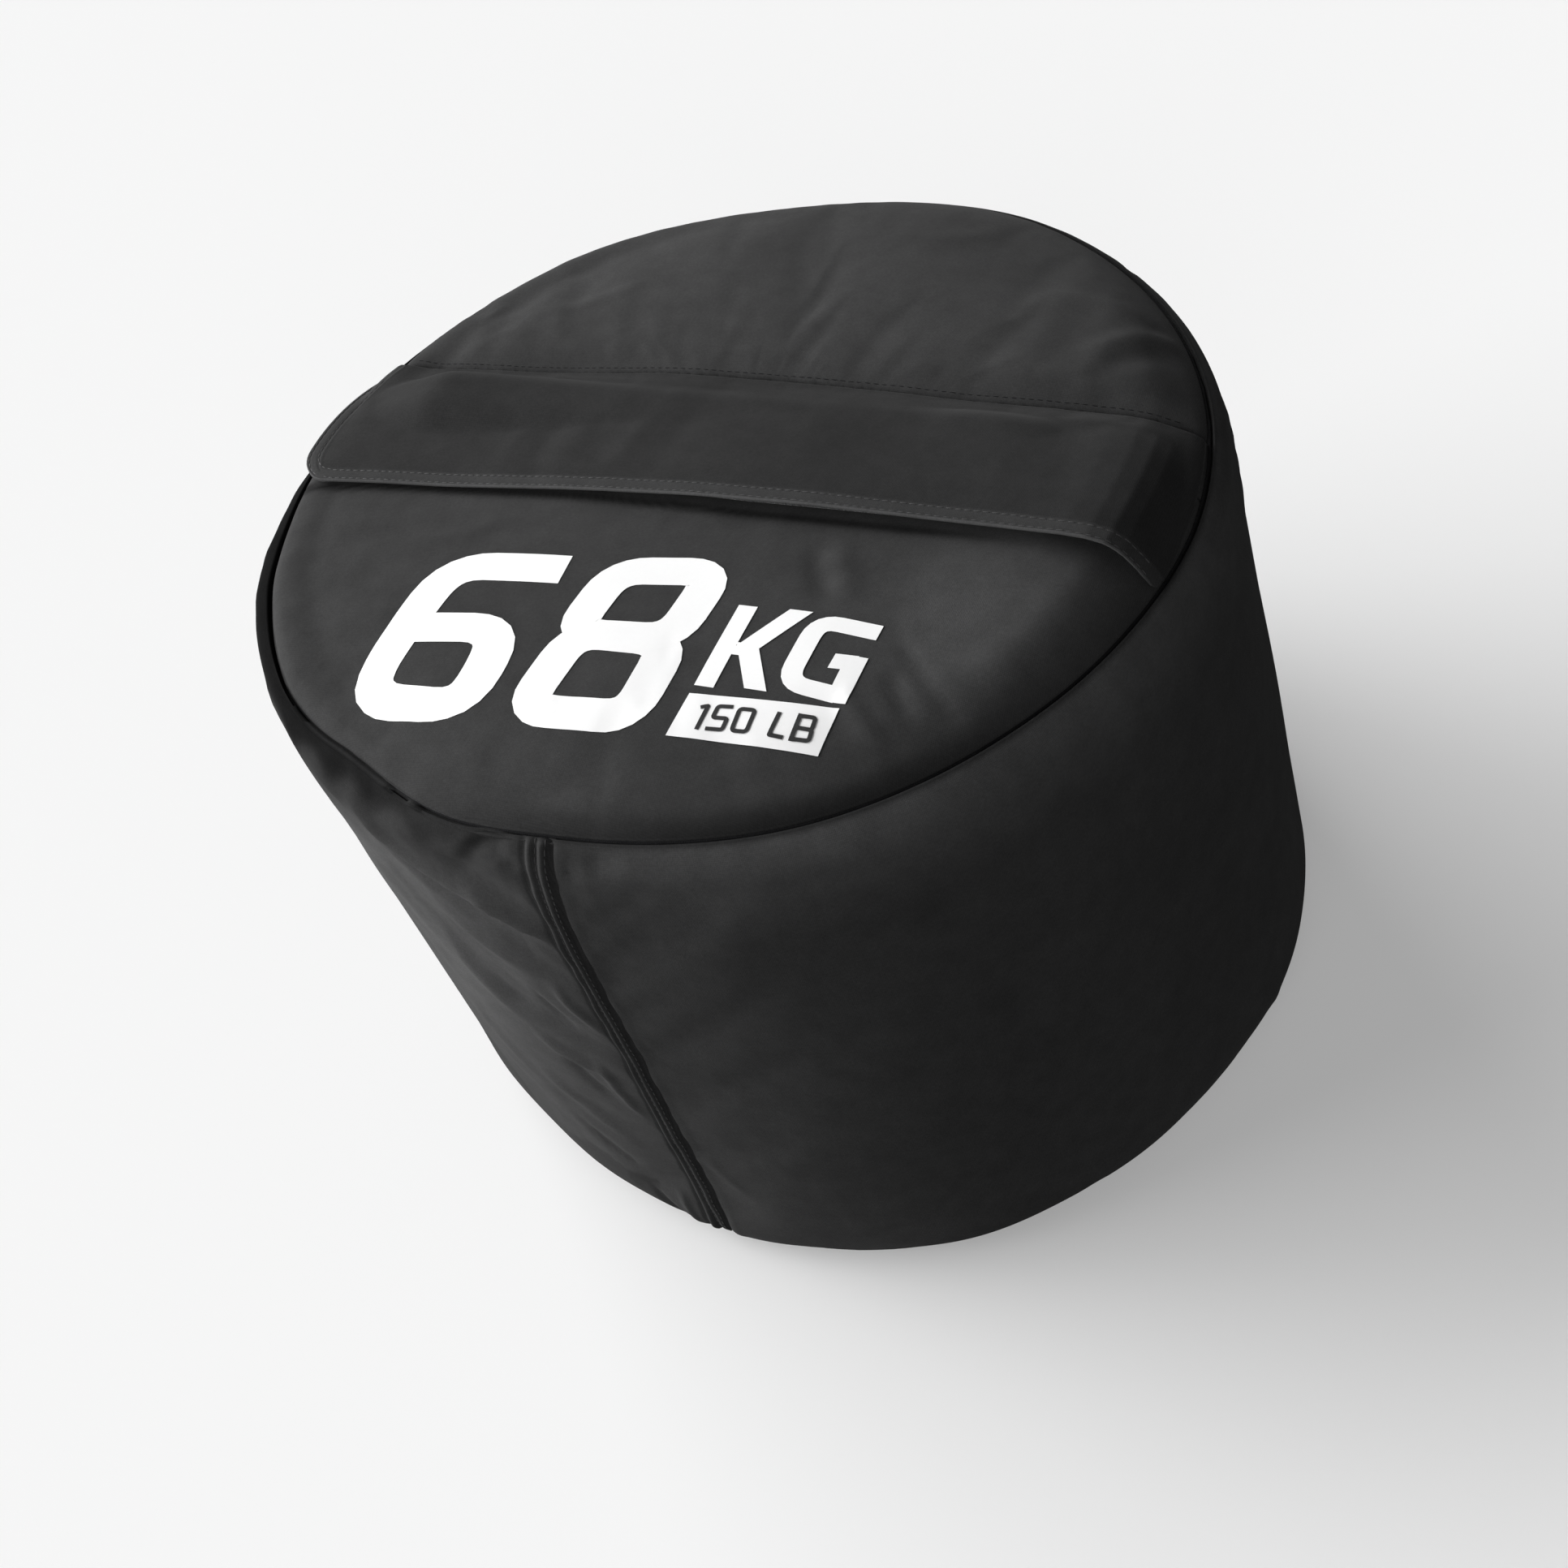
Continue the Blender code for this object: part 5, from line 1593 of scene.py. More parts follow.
class SANDBAG_OT_flap(bpy.types.Operator):
    """Build the closure flap, its stitches and the hook tape under it."""

    bl_idname = "sandbag.flap"
    bl_label = "Closure flap"

    def execute(self, context):
        x, y, share = flap_grid()
        low, high = flap_faces(x, share, *flap_edge(x, y))
        cover = sheet_solid("closure_flap_cloth", x, y, low, high, materials["flap"])
        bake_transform(cover)
        co = positions(cover)
        _, inside = flap_edge(co[:, 0], co[:, 1])
        hem = context.scene.bag_cloth.hem
        # The hem is paler, and its outer edge has a painted highlight
        pale = HEM_PALE * fading(inside, hem - HEM_FADE, hem) + EDGE_HIGHLIGHT_PALE * fading(inside, *EDGE_HIGHLIGHT_FADE)
        mark(cover, "hem", pale)
        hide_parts("closure_flap")
        lines = [self.edge_line(inset) for inset in (OUTER_STITCH, hem - INNER_STITCH)]
        rows = sew("flap_stitches", lines, "flap")
        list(self.hook_tape())
        return {"FINISHED"}

    def edge_line(self, inset):
        """A line at this distance inside the flap's free edge, from its left end round its front."""
        points = []
        for y in np.linspace(STITCH_ROW_TOP, FLAP_FRONT_Y + inset, 40):
            away = y - FLAP_FRONT_Y - inset
            cut = corner_cut(np.array(max(away, 0.0)), max(FLAP_CORNER_LEFT - inset, 0.001))
            points.append((float(rim_x(np.array(y), -1, FLAP_END_INSET_LEFT + inset)) + float(cut), y))
        right = float(rim_x(np.array(FLAP_FRONT_Y), 1, FLAP_END_INSET_RIGHT)) - FLAP_CORNER_RIGHT
        for x in np.linspace(points[-1][0], right, 170)[1:]:
            points.append((x, FLAP_FRONT_Y + inset))
        x, y = np.array(points).T
        inside = np.full_like(x, inset)
        _, high = flap_faces(x, flap_share(x, y), inside, inside)
        return np.stack([x, y, high + ON_FLAP], -1)

    def underside(self, x, y):
        """Height just under the flap's lower face, clear of its edges."""
        inside = np.full_like(x, UNDER_FLAP)
        return flap_faces(x, flap_share(x, y), inside, inside)[0] - TAPE_GAP

    def hook_tape(self):
        front = FLAP_FRONT_Y + HOOK_FRONT
        x, y = tape_grid(front, HOOK_WIDTH, 9, 120)
        high = self.underside(x, y)
        tape = sheet_solid("hook_tape", x, y, high - HOOK_THICK, high, materials["pile_hook"])
        hand_over(tape, "flap", "hook_and_loop", "flap_hook_tape")
        rows = tape_stitches("hook_tape_stitches", "flap", front, HOOK_WIDTH,
                             lambda x, y: self.underside(x, y) - HOOK_THICK - ON_TAPE)
        return [tape, rows]


class SANDBAG_OT_loop_tape(bpy.types.Operator):
    """Build the loop tape that the flap grips."""

    bl_idname = "sandbag.loop_tape"
    bl_label = "Loop tape"

    def execute(self, context):
        front = FLAP_FRONT_Y + LOOP_FRONT
        x, y = tape_grid(front, LOOP_WIDTH, 11, 130)
        low = top_surface(x, y) + LOOP_GAP
        edge = np.minimum(TAPE_LENGTH / 2 - np.abs(x), np.minimum(y - front, front + LOOP_WIDTH - y))
        rounded = np.sqrt(np.clip(edge / LOOP_ROUNDING, 0, 1))
        high = low + LOOP_THICK * (LOOP_EDGE_SHARE + (1 - LOOP_EDGE_SHARE) * rounded)
        tape = sheet_solid("loop_tape", x, y, low, high, materials["pile_loop"])
        hand_over(tape, "bag", "hook_and_loop", "panel_loop_tape")
        tape_stitches("loop_tape_stitches", "bag", front, LOOP_WIDTH,
                      lambda x, y: top_surface(x, y) + LOOP_GAP + LOOP_THICK * STITCH_LEVEL_SHARE)
        return {"FINISHED"}


# The zip

ZIP_BLUR = 0.03
ZIP_SAG_SHARE = 0.16
ZIP_TAPE_THICK = 0.0007
ZIP_TAPE_SUNK = 0.0002
TAPE_BEAD = 0.0004
BEAD_WIDTH = 0.0011
COIL_WIRE = 0.00062
COIL_WIDER = 0.0003
COIL_LOWER = 0.0002
# The end stop's clip: share of its half width, where it starts and how high it goes as shares of its height
CLIP_WIDE, CLIP_LOW, CLIP_HIGH, CLIP_POWER = 0.92, 0.15, 0.8, 0.6
CLIP_INNER = 0.72
CLIP_ROUNDING = 0.0004
CLIP_END_SHARE = 0.85
CLIP_END_NARROWER = 0.04
# The slider's plate below its bridge, and its levels: (height over its top, size)
BRIDGE_ROOM = 0.0028
PLATE_LEVELS = ((-0.0012, 0.97), (-0.0009, 1.0), (-0.0003, 1.0), (0.0, 0.93), (0.00025, 0.78))
PLATE_NOSE_SHARES = ((-0.9, 0.78), (-1.0, 0.5), (-1.0, -0.5), (-0.9, -0.78))
PLATE_ROUND_FROM = 0.35
FLANGE_SHARES = ((-0.8, 0), (0.7, 0), (0.7, 1), (-0.8, 1))
FLANGE_THICK = 0.0011
FLANGE_INSET = 0.0012
FLANGE_TOP = 0.0008
# Half of the bridge's line: (place along the zip, height over the plate)
BRIDGE_LINE = ((0.0032, -0.0003), (0.0031, 0.0017), (0.0018, 0.0022))
BRIDGE_HALF_WIDTH, BRIDGE_HALF_THICK = 0.0010, 0.00048
BAR_POINTS = 10
PULL_BEVEL = 0.00015
PULL_HEAD_SHARES = (0.55, 0.8)
PULL_WINDOW = (0.0062, 0.0014, 0.0015)
RIBS = (0.0022, 0.0082, 5)
RIB_WIDTH = 0.0006
RIB_SHARE = 0.55
RIB_LEVELS = ((-0.0001, 1.0), (0.00018, 0.9))


def zip_drop(x):
    """The zip bends down a little towards its left end, with the cloth."""
    return soft_table(x, TOP_SAG, ZIP_BLUR) * ZIP_SAG_SHARE * (x < 0)


def half_round(start, end, count):
    """Sine and cosine of evenly spaced turns."""
    return [(math.sin(turn), math.cos(turn)) for turn in np.linspace(start, end, count)]


def stack(work, plan, levels):
    """A closed body over an outline, given at several heights and sizes."""
    middle = [sum(p[k] for p in plan) / len(plan) for k in (0, 1)]
    rings = []
    for z, size in levels:
        rings.append([work.verts.new((*(c + (a - c) * size for a, c in zip(p, middle)), z)) for p in plan])
    join_rings(work, rings)


def bar(name, line, half_width, half_thick):
    """A rounded bar bent along a line in the XZ plane over the zip."""
    line = np.array(line)
    path, _ = spaced(line, np.linspace(0, spaced(line, np.zeros(1))[1], 22))
    work = bmesh.new()
    rings = []
    for i, (x, z) in enumerate(path):
        before, after = path[max(i - 1, 0)], path[min(i + 1, len(path) - 1)]
        run = (after - before) / np.linalg.norm(after - before)
        rings.append([work.verts.new((x - run[1] * up * half_thick, ZIP_Y + side * half_width,
                                      z + run[0] * up * half_thick))
                      for up, side in half_round(0, 2 * math.pi, BAR_POINTS + 1)[:-1]])
    join_rings(work, rings)
    return from_work(name, work, materials["metal"], 60)


class SANDBAG_OT_zip(bpy.types.Operator):
    """Build the zip: woven tapes, coils, end stops, slider and pull."""

    bl_idname = "sandbag.zip"
    bl_label = "Zip"

    def execute(self, context):
        for row, side in (("front", -1), ("rear", 1)):
            self.tape(row, side)
            self.coil(row, side, context.scene.bag_cloth.coil_pitch)
        for end in ("left", "right"):
            self.stop(end)
        self.slider()
        self.pull()
        return {"FINISHED"}

    def tape(self, row, side):
        low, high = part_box("zip_tape_" + row)
        x, y = np.meshgrid(np.linspace(low.x, high.x, 140), np.linspace(low.y, high.y, 12))
        inner = low.y if side > 0 else high.y
        bead = bell(np.abs(y - inner), BEAD_WIDTH) * TAPE_BEAD
        top = high.z + bead - zip_drop(x) - ZIP_TAPE_SUNK
        made = sheet_solid("zip_tape_cloth_" + row, x, y, top - ZIP_TAPE_THICK, top, materials["tape"])
        hand_over(made, "bag", "tape", "zip_tape_" + row)

    def coil(self, row, side, pitch):
        low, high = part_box("zip_coil_" + row)
        made = lines_object("zip_coil_wire_" + row, [[(0, 0, 0), (0.001, 0, 0)]])
        run_tree(made, trees["coil"], Length=high.x - low.x, Pitch=pitch, Wire=COIL_WIRE,
                 Width=high.y - low.y + COIL_WIDER, Height=high.z - low.z - COIL_LOWER,
                 Start_turn=0.0 if side > 0 else math.pi, Material=materials["coil"])
        middle = (low + high) / 2
        for vertex in made.data.vertices:
            vertex.co += Vector((low.x, middle.y, middle.z))
            vertex.co.z -= float(zip_drop(vertex.co.x))
        made.data.shade_smooth()
        hand_over(made, "bag", "zip_coil", "zip_coil_" + row)

    def stop(self, end):
        """A small clip of bent wire, pressed over both coils."""
        low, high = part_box("zip_stop_" + end)
        base = low.z - float(zip_drop(np.array((low.x + high.x) / 2)))
        half, tall = (high.y - low.y) / 2, high.z - low.z
        points = [(half * CLIP_WIDE * level, tall * (CLIP_LOW + CLIP_HIGH * up ** CLIP_POWER))
                  for up, level in half_round(0, math.pi, 13)]
        work = bmesh.new()
        rings = []
        for x in (low.x, low.x + CLIP_ROUNDING, high.x - CLIP_ROUNDING, high.x):
            size = CLIP_END_SHARE if x in (low.x, high.x) else 1.0
            outer = [(y * (1 - CLIP_END_NARROWER + CLIP_END_NARROWER * size), z * size) for y, z in points]
            inner = [(y * CLIP_INNER, z * CLIP_INNER) for y, z in reversed(points)]
            rings.append([work.verts.new((x, ZIP_Y + y, base + z)) for y, z in outer + inner])
        join_rings(work, rings)
        bmesh.ops.triangulate(work, faces=[f for f in work.faces if len(f.verts) > 4])
        made = from_work("zip_stop_metal_" + end, work, materials["metal"])
        hand_over(made, "bag", "dark_metal", "zip_stop_" + end)

    def slider(self):
        """A domed plate with a notched nose, side flanges, and the arched bridge for the pull."""
        low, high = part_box("zip_slider")
        middle, half, wide = (low.x + high.x) / 2, (high.x - low.x) / 2, (high.y - low.y) / 2
        top = high.z - BRIDGE_ROOM - SLIDER_LOWERED
        plan = [(middle + half * (PLATE_ROUND_FROM + (1 - PLATE_ROUND_FROM) * along), ZIP_Y + wide * across)
                for across, along in half_round(-math.pi / 2, math.pi / 2, 13)]
        plan += [(middle + half * along, ZIP_Y + wide * across) for along, across in PLATE_NOSE_SHARES]
        work = bmesh.new()
        stack(work, plan, [(top + up, size) for up, size in PLATE_LEVELS])
        for side in (-1, 1):
            flange = [(middle + half * along, ZIP_Y + side * (wide - FLANGE_INSET + out * FLANGE_THICK))
                      for along, out in FLANGE_SHARES]
            stack(work, flange, [(low.z, 1.0), (top - FLANGE_TOP, 1.0)])
        body = from_work("zip_slider_metal", work, materials["metal"], 35)
        line = [(middle - along, top + up) for along, up in BRIDGE_LINE]
        line += [(middle + along, top + up) for along, up in reversed(BRIDGE_LINE)]
        arch = bar("zip_bridge_metal", line, BRIDGE_HALF_WIDTH, BRIDGE_HALF_THICK)
        hand_over(body, "zip_slider", "dark_metal", "zip_slider")
        hand_over(arch, "zip_slider", "dark_metal")

    def pull(self):
        """A flat tab with rounded ends, a window for the bridge and a ribbed grip."""
        low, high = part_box("zip_pull")
        wide, thick = (high.y - low.y) / 2, high.z - low.z
        shorter, narrower = PULL_HEAD_SHARES
        tab = [(low.x + wide + wide * along, ZIP_Y + wide * across)
               for across, along in half_round(math.pi / 2, 3 * math.pi / 2, 11)]
        tab += [(high.x + wide * shorter * (along - 1), ZIP_Y + wide * narrower * across)
                for across, along in half_round(-math.pi / 2, math.pi / 2, 9)]
        rear, front, half = PULL_WINDOW
        window = [(high.x - x, ZIP_Y + y)
                  for x, y in ((rear, half), (rear, -half), (front, -half), (front, half))]
        mesh = self.flat_body(tab, window, thick)
        work = work_on(mesh)
        bpy.data.meshes.remove(mesh)
        merge_points(work)
        bmesh.ops.translate(work, verts=work.verts, vec=(0, 0, (low.z + high.z) / 2 - SLIDER_LOWERED))
        face, reach = high.z - SLIDER_LOWERED, wide * RIB_SHARE
        first, last, count = RIBS
        for x in np.linspace(low.x + first, low.x + last, count):
            rib = [(x, ZIP_Y - reach), (x + RIB_WIDTH, ZIP_Y - reach),
                   (x + RIB_WIDTH, ZIP_Y + reach), (x, ZIP_Y + reach)]
            stack(work, rib, [(face + up, size) for up, size in RIB_LEVELS])
        made = from_work("zip_pull_metal", work, materials["metal"], 35)
        hand_over(made, "zip_pull", "dark_metal", "zip_pull")

    def flat_body(self, outer, window, thick):
        """A plate with bevelled edges, filled between two loops."""
        curve = bpy.data.curves.new("zip_pull_metal", "CURVE")
        curve.dimensions = "2D"
        curve.fill_mode = "BOTH"
        curve.extrude = thick / 2 - PULL_BEVEL
        curve.bevel_depth = PULL_BEVEL
        curve.bevel_resolution = 1
        for loop in (outer, window):
            spline = curve.splines.new("POLY")
            spline.points.add(len(loop) - 1)
            for point, (x, y) in zip(spline.points, loop):
                point.co = (x, y, 0, 1)
            spline.use_cyclic_u = True
        holder = show("zip_pull_outline", curve)
        bpy.context.view_layer.update()
        mesh = bpy.data.meshes.new_from_object(holder.evaluated_get(bpy.context.evaluated_depsgraph_get()))
        bpy.data.objects.remove(holder, do_unlink=True)
        return mesh


# The weight mark: plain squared figures in white ink

def rounded_path(points, radius, closed=False):
    """The corners of a path, each rounded by an arc of up to this radius."""
    points = [np.array(p, float) for p in points]
    count = len(points)
    made = []
    for i, corner in enumerate(points):
        if not closed and i in (0, count - 1):
            made.append(corner)
            continue
        before, after = points[i - 1], points[(i + 1) % count]
        a = (before - corner) / np.linalg.norm(before - corner)
        b = (after - corner) / np.linalg.norm(after - corner)
        cut = min(radius, 0.5 * np.linalg.norm(before - corner), 0.5 * np.linalg.norm(after - corner))
        for t in np.linspace(0, 1, 7):
            made.append(corner + a * cut * (1 - t) ** 2 + b * cut * t ** 2)
    return np.array(made)


# Strokes of the weight mark on the top's plan, in millimetres: (points, closed, stem, bar, corner)
FIGURE_STROKES = (
    (((-38.8, -77.5), (-94.1, -79.4), (-104.0, -151.9), (-50.7, -154.2), (-50.0, -112.2), (-93.6, -115.3)),
     False, 19.4, 16.1, 18.8),
    (((-24.3, -151.7), (-17.7, -111.1), (24.9, -109.2), (22.9, -148.3)), True, 17.4, 15.6, 13.5),
    (((-20.4, -111.5), (-15.4, -75.0), (28.0, -69.0), (23.8, -107.3)), True, 17.4, 15.6, 13.5),
    (((47.1, -128.4), (48.9, -85.3)), False, 8.3, 8.3, 0),
    (((54.2, -111.0), (71.9, -84.4)), False, 8.3, 8.3, 0),
    (((56.4, -104.6), (68.5, -126.4)), False, 8.3, 8.3, 0),
    (((107.2, -90.2), (81.0, -88.4), (79.1, -120.8), (101.0, -122.6)), False, 8.8, 7.6, 9),
    (((93.4, -107.2), (103.0, -106.6)), False, 7.4, 7.4, 0),
    (((102.9, -103.2), (101.7, -126.2)), False, 8.6, 8.6, 0),
    (((41.8, -143.0), (103.3, -138.6)), False, 20.8, 20.8, 0),
)
SMALL_STROKES = (
    (((50.0, -138.5), (52.8, -137.1), (52.1, -148.6)), False, 1.8, 1.8, 0.6),
    (((62.9, -135.9), (56.8, -136.6), (56.5, -142.0), (62.4, -141.4), (62.2, -146.6), (55.4, -147.4)), False,
     1.8, 1.8, 1.2),
    (((65.9, -136.2), (72.2, -135.8), (72.0, -145.7), (66.0, -146.2)), True, 1.8, 1.8, 1.6),
    (((82.1, -134.7), (81.3, -145.1), (87.0, -145.1)), False, 1.8, 1.8, 0.3),
    (((90.4, -134.6), (96.7, -134.3), (96.9, -139.6), (90.5, -139.9)), True, 1.8, 1.8, 1.3),
    (((90.5, -139.9), (97.0, -139.6), (97.2, -144.2), (90.3, -145.0)), True, 1.8, 1.8, 1.3),
    (((90.5, -133.7), (90.3, -145.9)), False, 1.9, 1.9, 0),
)


MARK_GRID = 0.0013
MARK_LIFT = 0.00022
SMALL_MARK_LIFT = 0.0006
OVERLAP_LIFT = 0.00002
ABOVE_TOP = 0.36
# How the ends of short strokes are cut: an upright one level, any other a little slanted
STEEP = 0.5
LEVEL_SLANT = (0.09, 1.0)


class SANDBAG_OT_weight_mark(bpy.types.Operator):
    """Print the bag's weight on the front panel, in plain figures."""

    bl_idname = "sandbag.weight_mark"
    bl_label = "Weight mark"

    def execute(self, context):
        panel = bpy.data.objects["top_front_cloth"].data
        surface = BVHTree.FromPolygons([v.co.copy() for v in panel.vertices],
                                       [tuple(p.vertices) for p in panel.polygons])
        self.lay("weight_figures", FIGURE_STROKES, surface, materials["ink"], MARK_LIFT)
        self.lay("weight_small_figures", SMALL_STROKES, surface, materials["bag"], SMALL_MARK_LIFT)
        return {"FINISHED"}

    def band(self, points, closed, stem, bar, corner):
        """Left and right edge of a stroke. Upright runs are as wide as a stem, level ones as a bar."""
        path = rounded_path(np.array(points) * MILLIMETRE, corner * MILLIMETRE, closed)
        if closed:
            path = np.concatenate([path, path[:1]], 0)
        run = np.gradient(path, axis=0)
        if closed:
            run[0] = run[-1] = path[1] - path[-2]
        run /= np.linalg.norm(run, axis=1)[:, None]
        width = (bar + (stem - bar) * run[:, 1:] ** 2) * MILLIMETRE
        across = np.stack([-run[:, 1], run[:, 0]], -1) * width / 2
        if len(points) == 2:
            rise = run[0, 1]
            slant = (-np.sign(rise) / abs(rise), 0.0) if abs(rise) > STEEP else LEVEL_SLANT
            across = np.array([slant, slant]) * width / 2
        return path + across, path - across

    def lay(self, name, strokes, surface, material, lift):
        """Lays the strokes on the cloth, cut finely enough to follow it, each just over the last."""
        points, faces = [], []
        for number, stroke in enumerate(strokes):
            left, right = self.band(*stroke)
            length = max(np.linalg.norm(np.diff(edge, axis=0), axis=1).sum() for edge in (left, right))
            across = int(np.linalg.norm(left[0] - right[0]) / MARK_GRID) + 2
            gone = np.linspace(0, 1, len(left))
            steps = np.unique(np.concatenate([gone, np.linspace(0, 1, int(length / MARK_GRID) + 2)]))
            a, b = (np.stack([np.interp(steps, gone, edge[:, k]) for k in (0, 1)], -1)
                    for edge in (left, right))
            start, wide = len(points), across + 1
            for p, q in zip(a, b):
                for share in np.linspace(0, 1, wide):
                    x, y = p * (1 - share) + q * share
                    hit = surface.ray_cast(Vector((x, y, ABOVE_TOP)), Vector((0, 0, -1)))[0]
                    points.append((x, y, hit.z + lift + OVERLAP_LIFT * number))
            for i in range(len(steps) - 1):
                for k in range(start + i * wide, start + i * wide + across):
                    faces.append((k, k + wide, k + wide + 1, k + 1))
        mesh = bpy.data.meshes.new(name)
        mesh.from_pydata(points, [], faces)
        cloth_measure(mesh, np.array(points)[:, :2])
        mesh.materials.append(material)
        mesh.shade_smooth()
        if mesh.polygons[0].normal.z < 0:
            mesh.flip_normals()
        hand_over(show(name, mesh), "bag", "bag_cloth")


# Inside the bag

CLEAR_OF_WALL = 0.0008
KEPT_CLEAR = ("liner_bag_cloth", "sand_grains", "side_binding_tape")
SHOULDER_LENGTH = 0.012
UNEVEN_MEAN, UNEVEN_SWING = 0.5, 0.25
SINKS_FROM = (0.22, 0.30)
BESIDE_RIM_SHARE = 0.995
WALL_SHARES = (0.8, 0.97)
# Piece, node, slot, cuts of each edge, depth of its unevenness, and how fine that is
INSIDE_PIECES = (
    ("top_binding_tape", "top_seam_binding", "tape", 1, 0.0001, 3),
    ("bottom_binding_tape", "bottom_seam_binding", "tape", 1, 0.0001, 3),
    ("side_binding_tape", "side_seam_binding", "tape", 2, 0.0001, 3),
    ("liner_bag_cloth", "liner_bag", "liner_cloth", 1, 0.00012, 2),
    ("liner_throat_cloth", "liner_throat", "liner_cloth", 6, 0.0001, 8),
    ("throat_tie_tape", "throat_tie", "tape", 3, 0.00008, 8),
    ("sand_grains", "sand_fill", "sand", 1, 0.00015, 4),
)


class SANDBAG_OT_inside(bpy.types.Operator):
    """Build the bound seams, the liner with its tied throat, and the sand."""

    bl_idname = "sandbag.inside"
    bl_label = "Inside"

    def execute(self, context):
        for name, node, slot, cuts, depth, scale in INSIDE_PIECES:
            made = self.soft_copy(name, node, materials[slot.removesuffix("_cloth")], cuts, depth, scale)
            hand_over(made, "bag", slot, node)
        return {"FINISHED"}

    def soft_copy(self, name, node, material, cuts, depth, scale):
        """A finer, uneven copy of a hidden piece, inside its own faces and lowered under the top's sags."""
        work = work_on(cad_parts[node].data)
        merge_points(work)
        bmesh.ops.subdivide_edges(work, edges=work.edges, cuts=cuts, use_grid_fill=True)
        bmesh.ops.recalc_face_normals(work, faces=work.faces)
        work.normal_update()
        co = np.array([v.co[:] for v in work.verts])
        normal = np.array([v.normal[:] for v in work.verts])
        wave = lumps(co[:, 0] * scale, (co[:, 1] + co[:, 2]) * scale, 31)
        co = co - normal * (depth * (UNEVEN_MEAN + UNEVEN_SWING * wave))[:, None]
        x, y = co[:, 0], co[:, 1]
        degrees = bearing(x, y)
        share = np.minimum(np.hypot(x, y) / outline(degrees, SEAM_HEIGHT), 1.0)
        full = SEAM_HEIGHT + CROWN_RISE * (1 - share ** CROWN_POWER)
        sinks = ramp(co[:, 2], *SINKS_FROM) * (share < BESIDE_RIM_SHARE)
        co[:, 2] -= np.maximum(full - top_surface(x, y), 0) * sinks
        below = SEAM_HEIGHT - co[:, 2]
        inward = np.maximum(0, rim_pull(degrees)) * fading(below, *PULL_FADES)
        if name in KEPT_CLEAR:
            from_rim = below + SHOULDER_LENGTH
            inward += np.maximum(0, -wall_relief(degrees, co[:, 2], from_rim)) + CLEAR_OF_WALL
        radius = np.hypot(x, y)
        close = ramp(radius, *(share * RIM_RADIUS for share in WALL_SHARES))
        co[:, :2] *= (1 - inward * close / np.maximum(radius, 1e-6))[:, None]
        for vertex, point in zip(work.verts, co):
            vertex.co = point
        made = from_work(name, work, material, 40)
        x, y = co[:, 0], co[:, 1]
        cloth_measure(made.data, np.stack([np.arctan2(y, x) * RIM_RADIUS, np.hypot(x, y) + co[:, 2]], -1))
        return made


# Camera, lamps and floor

CAMERA_PLACE = (0.4617, -0.6665, 0.9719)
CAMERA_RIGHT = (0.90330, 0.36531, -0.22494)
CAMERA_UP = (-0.14102, 0.74802, 0.64852)
CAMERA_AHEAD = (-0.40517, 0.55409, -0.72720)
SENSOR_WIDTH = 36.0
# Each lamp's setting, azimuth, elevation and spread, in degrees
LAMPS = (("key", 195, 15, 60), ("rear", 165, 28, 60), ("fill", 285, 10, 60))
FLOOR_HALF = 12.0
FLOOR_LEVEL = -0.0003
SHADOW_SHARE = 0.69
FLOOR_BOUNCE = 0.06


def seen(tree):
    """1 where the camera, a mirror-like gloss or a clear piece sees the surface, else 0."""
    rays = add_node(tree, "ShaderNodeLightPath")
    total = rays["Is Camera Ray"]
    for name in ("Is Glossy Ray", "Is Transmission Ray"):
        total = add_node(tree, "ShaderNodeMath", (0, total), (1, rays[name]), operation="MAXIMUM")[0]
    return total


def start_nodes(data):
    """The emptied node tree of a world or material."""
    data.use_nodes = True
    data.node_tree.nodes.clear()
    return data.node_tree


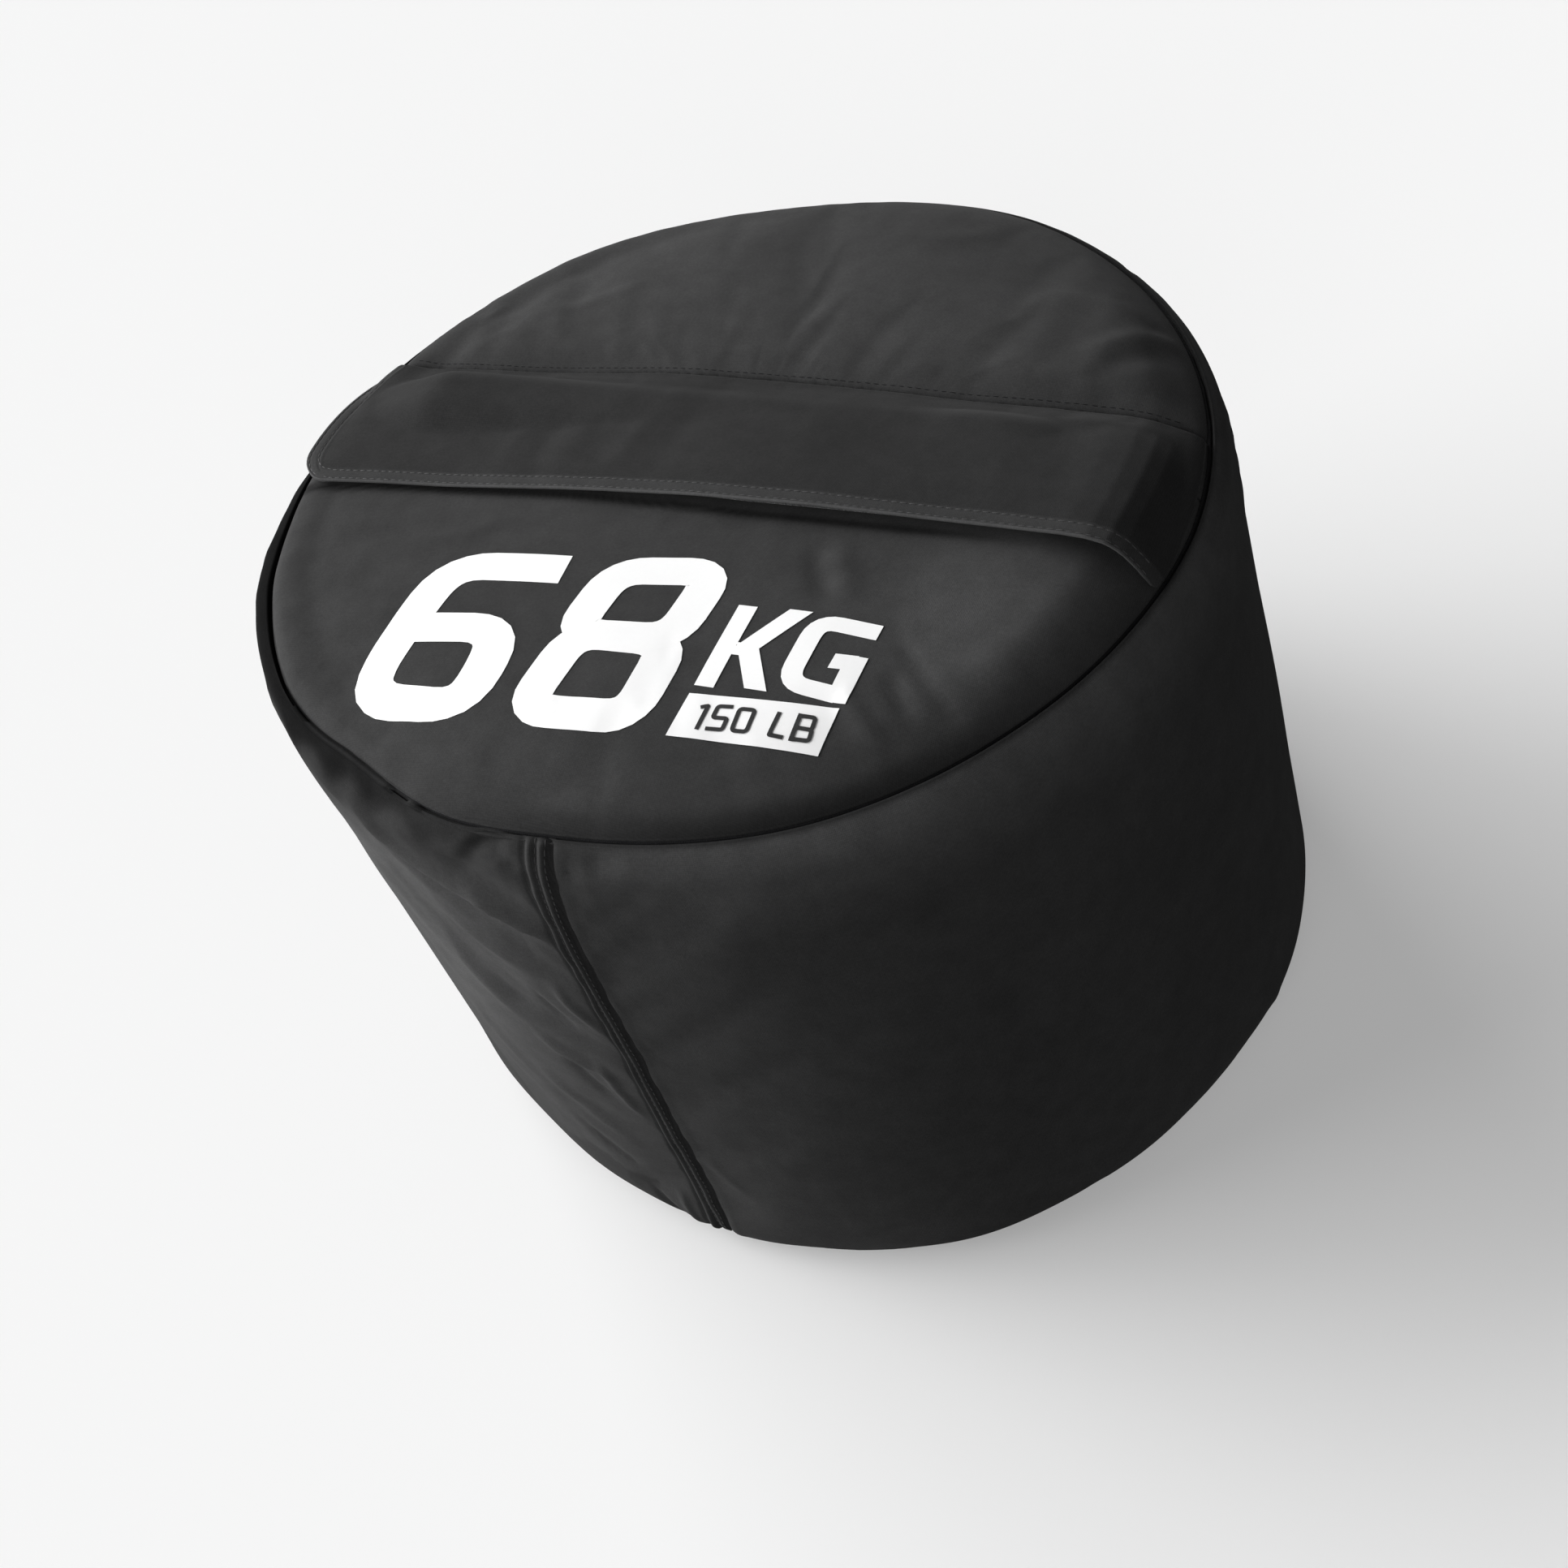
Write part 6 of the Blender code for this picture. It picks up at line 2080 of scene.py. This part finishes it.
class SANDBAG_OT_stage(bpy.types.Operator):
    """Set the camera, the soft light and the pale floor."""

    bl_idname = "sandbag.stage"
    bl_label = "Studio"

    def execute(self, context):
        studio = context.scene.bag_studio
        context.scene.view_settings.view_transform = "Standard"
        camera = bpy.data.cameras.new("Camera")
        camera.lens = studio.lens
        camera.sensor_width = SENSOR_WIDTH
        camera.clip_start, camera.clip_end = 0.01, 100
        holder = show("Camera", camera)
        turn = Matrix((CAMERA_RIGHT, CAMERA_UP, [-a for a in CAMERA_AHEAD])).transposed()
        holder.matrix_world = Matrix.Translation(CAMERA_PLACE) @ turn.to_4x4()
        context.scene.camera = holder
        for name, azimuth, elevation, spread in LAMPS:
            self.lamp(name, getattr(studio, name), *(math.radians(a) for a in (azimuth, elevation, spread)))
        self.world(context.scene, studio)
        self.floor(studio)
        return {"FINISHED"}

    def lamp(self, name, strength, azimuth, elevation, spread):
        light = bpy.data.lights.new(name, "SUN")
        light.energy = strength
        light.angle = spread
        level = math.cos(elevation)
        towards = Vector((math.cos(azimuth) * level, math.sin(azimuth) * level, math.sin(elevation)))
        show(name, light).rotation_euler = towards.to_track_quat("Z", "Y").to_euler()

    def world(self, scene, studio):
        scene.world = bpy.data.worlds.new("Studio")
        tree = start_nodes(scene.world)
        even, pale = (add_node(tree, "ShaderNodeBackground", ("Color", (1, 1, 1, 1)), ("Strength", level))[0]
                      for level in (studio.ambient, studio.backdrop))
        mixed = add_node(tree, "ShaderNodeMixShader", (0, seen(tree)), (1, even), (2, pale))[0]
        add_node(tree, "ShaderNodeOutputWorld", (0, mixed))

    def floor(self, studio):
        mesh = bpy.data.meshes.new("floor")
        corners = [(x * FLOOR_HALF, y * FLOOR_HALF, FLOOR_LEVEL)
                   for x, y in ((-1, -1), (1, -1), (1, 1), (-1, 1))]
        mesh.from_pydata(corners, [], [(0, 1, 2, 3)])
        material = bpy.data.materials.new("Pale floor")
        tree = start_nodes(material)
        level = studio.ambient + sum(getattr(studio, name) * math.sin(math.radians(elevation)) / math.pi
                                     for name, _, elevation, _ in LAMPS)
        share = studio.backdrop * SHADOW_SHARE / level
        lit, dim = (add_node(tree, "ShaderNodeBsdfDiffuse", ("Color", (tone, tone, tone, 1)))[0]
                    for tone in (share, FLOOR_BOUNCE))
        glow = add_node(tree, "ShaderNodeEmission", ("Strength", studio.backdrop * (1 - SHADOW_SHARE)))[0]
        both = add_node(tree, "ShaderNodeAddShader", (0, lit), (1, glow))[0]
        chosen = add_node(tree, "ShaderNodeMixShader", (0, seen(tree)), (1, dim), (2, both))[0]
        add_node(tree, "ShaderNodeOutputMaterial", (0, chosen))
        mesh.materials.append(material)
        show("floor", mesh)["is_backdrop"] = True


OPERATORS = (SANDBAG_OT_finishes, SANDBAG_OT_settle, SANDBAG_OT_side, SANDBAG_OT_base, SANDBAG_OT_top,
             SANDBAG_OT_loop_tape, SANDBAG_OT_flap, SANDBAG_OT_zip, SANDBAG_OT_weight_mark, SANDBAG_OT_inside,
             SANDBAG_OT_stage)
GROUPS = (("bag_cloth", BagCloth), ("bag_finish", BagFinish), ("bag_studio", BagStudio))


class SANDBAG_PT_panel(bpy.types.Panel):
    """Lists the bag's settings and its pieces."""

    bl_idname = "SANDBAG_PT_panel"
    bl_label = "Sandbag trainer"
    bl_space_type = "VIEW_3D"
    bl_region_type = "UI"
    bl_category = "Sandbag"

    def draw(self, context):
        for name, group in GROUPS:
            settings = getattr(context.scene, name)
            box = self.layout.box()
            for key in group.__annotations__:
                box.prop(settings, key)
        for operator in OPERATORS:
            self.layout.operator(operator.bl_idname)


def register():
    for name, group in GROUPS:
        bpy.utils.register_class(group)
        setattr(bpy.types.Scene, name, PointerProperty(type=group))
    for operator in OPERATORS:
        bpy.utils.register_class(operator)
    bpy.utils.register_class(SANDBAG_PT_panel)


def unregister():
    bpy.utils.unregister_class(SANDBAG_PT_panel)
    for operator in reversed(OPERATORS):
        bpy.utils.unregister_class(operator)
    for name, group in reversed(GROUPS):
        delattr(bpy.types.Scene, name)
        bpy.utils.unregister_class(group)


def corners_as_lists():
    bpy.context.view_layer.update()
    return [list(corner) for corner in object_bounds()]


def main():
    register()
    cad_box = corners_as_lists()
    for operator in OPERATORS:
        group, name = operator.bl_idname.split(".")
        getattr(getattr(bpy.ops, group), name)()
    {"cad": cad_box, "dressed": corners_as_lists()}


if __name__ == "__main__":
    main()
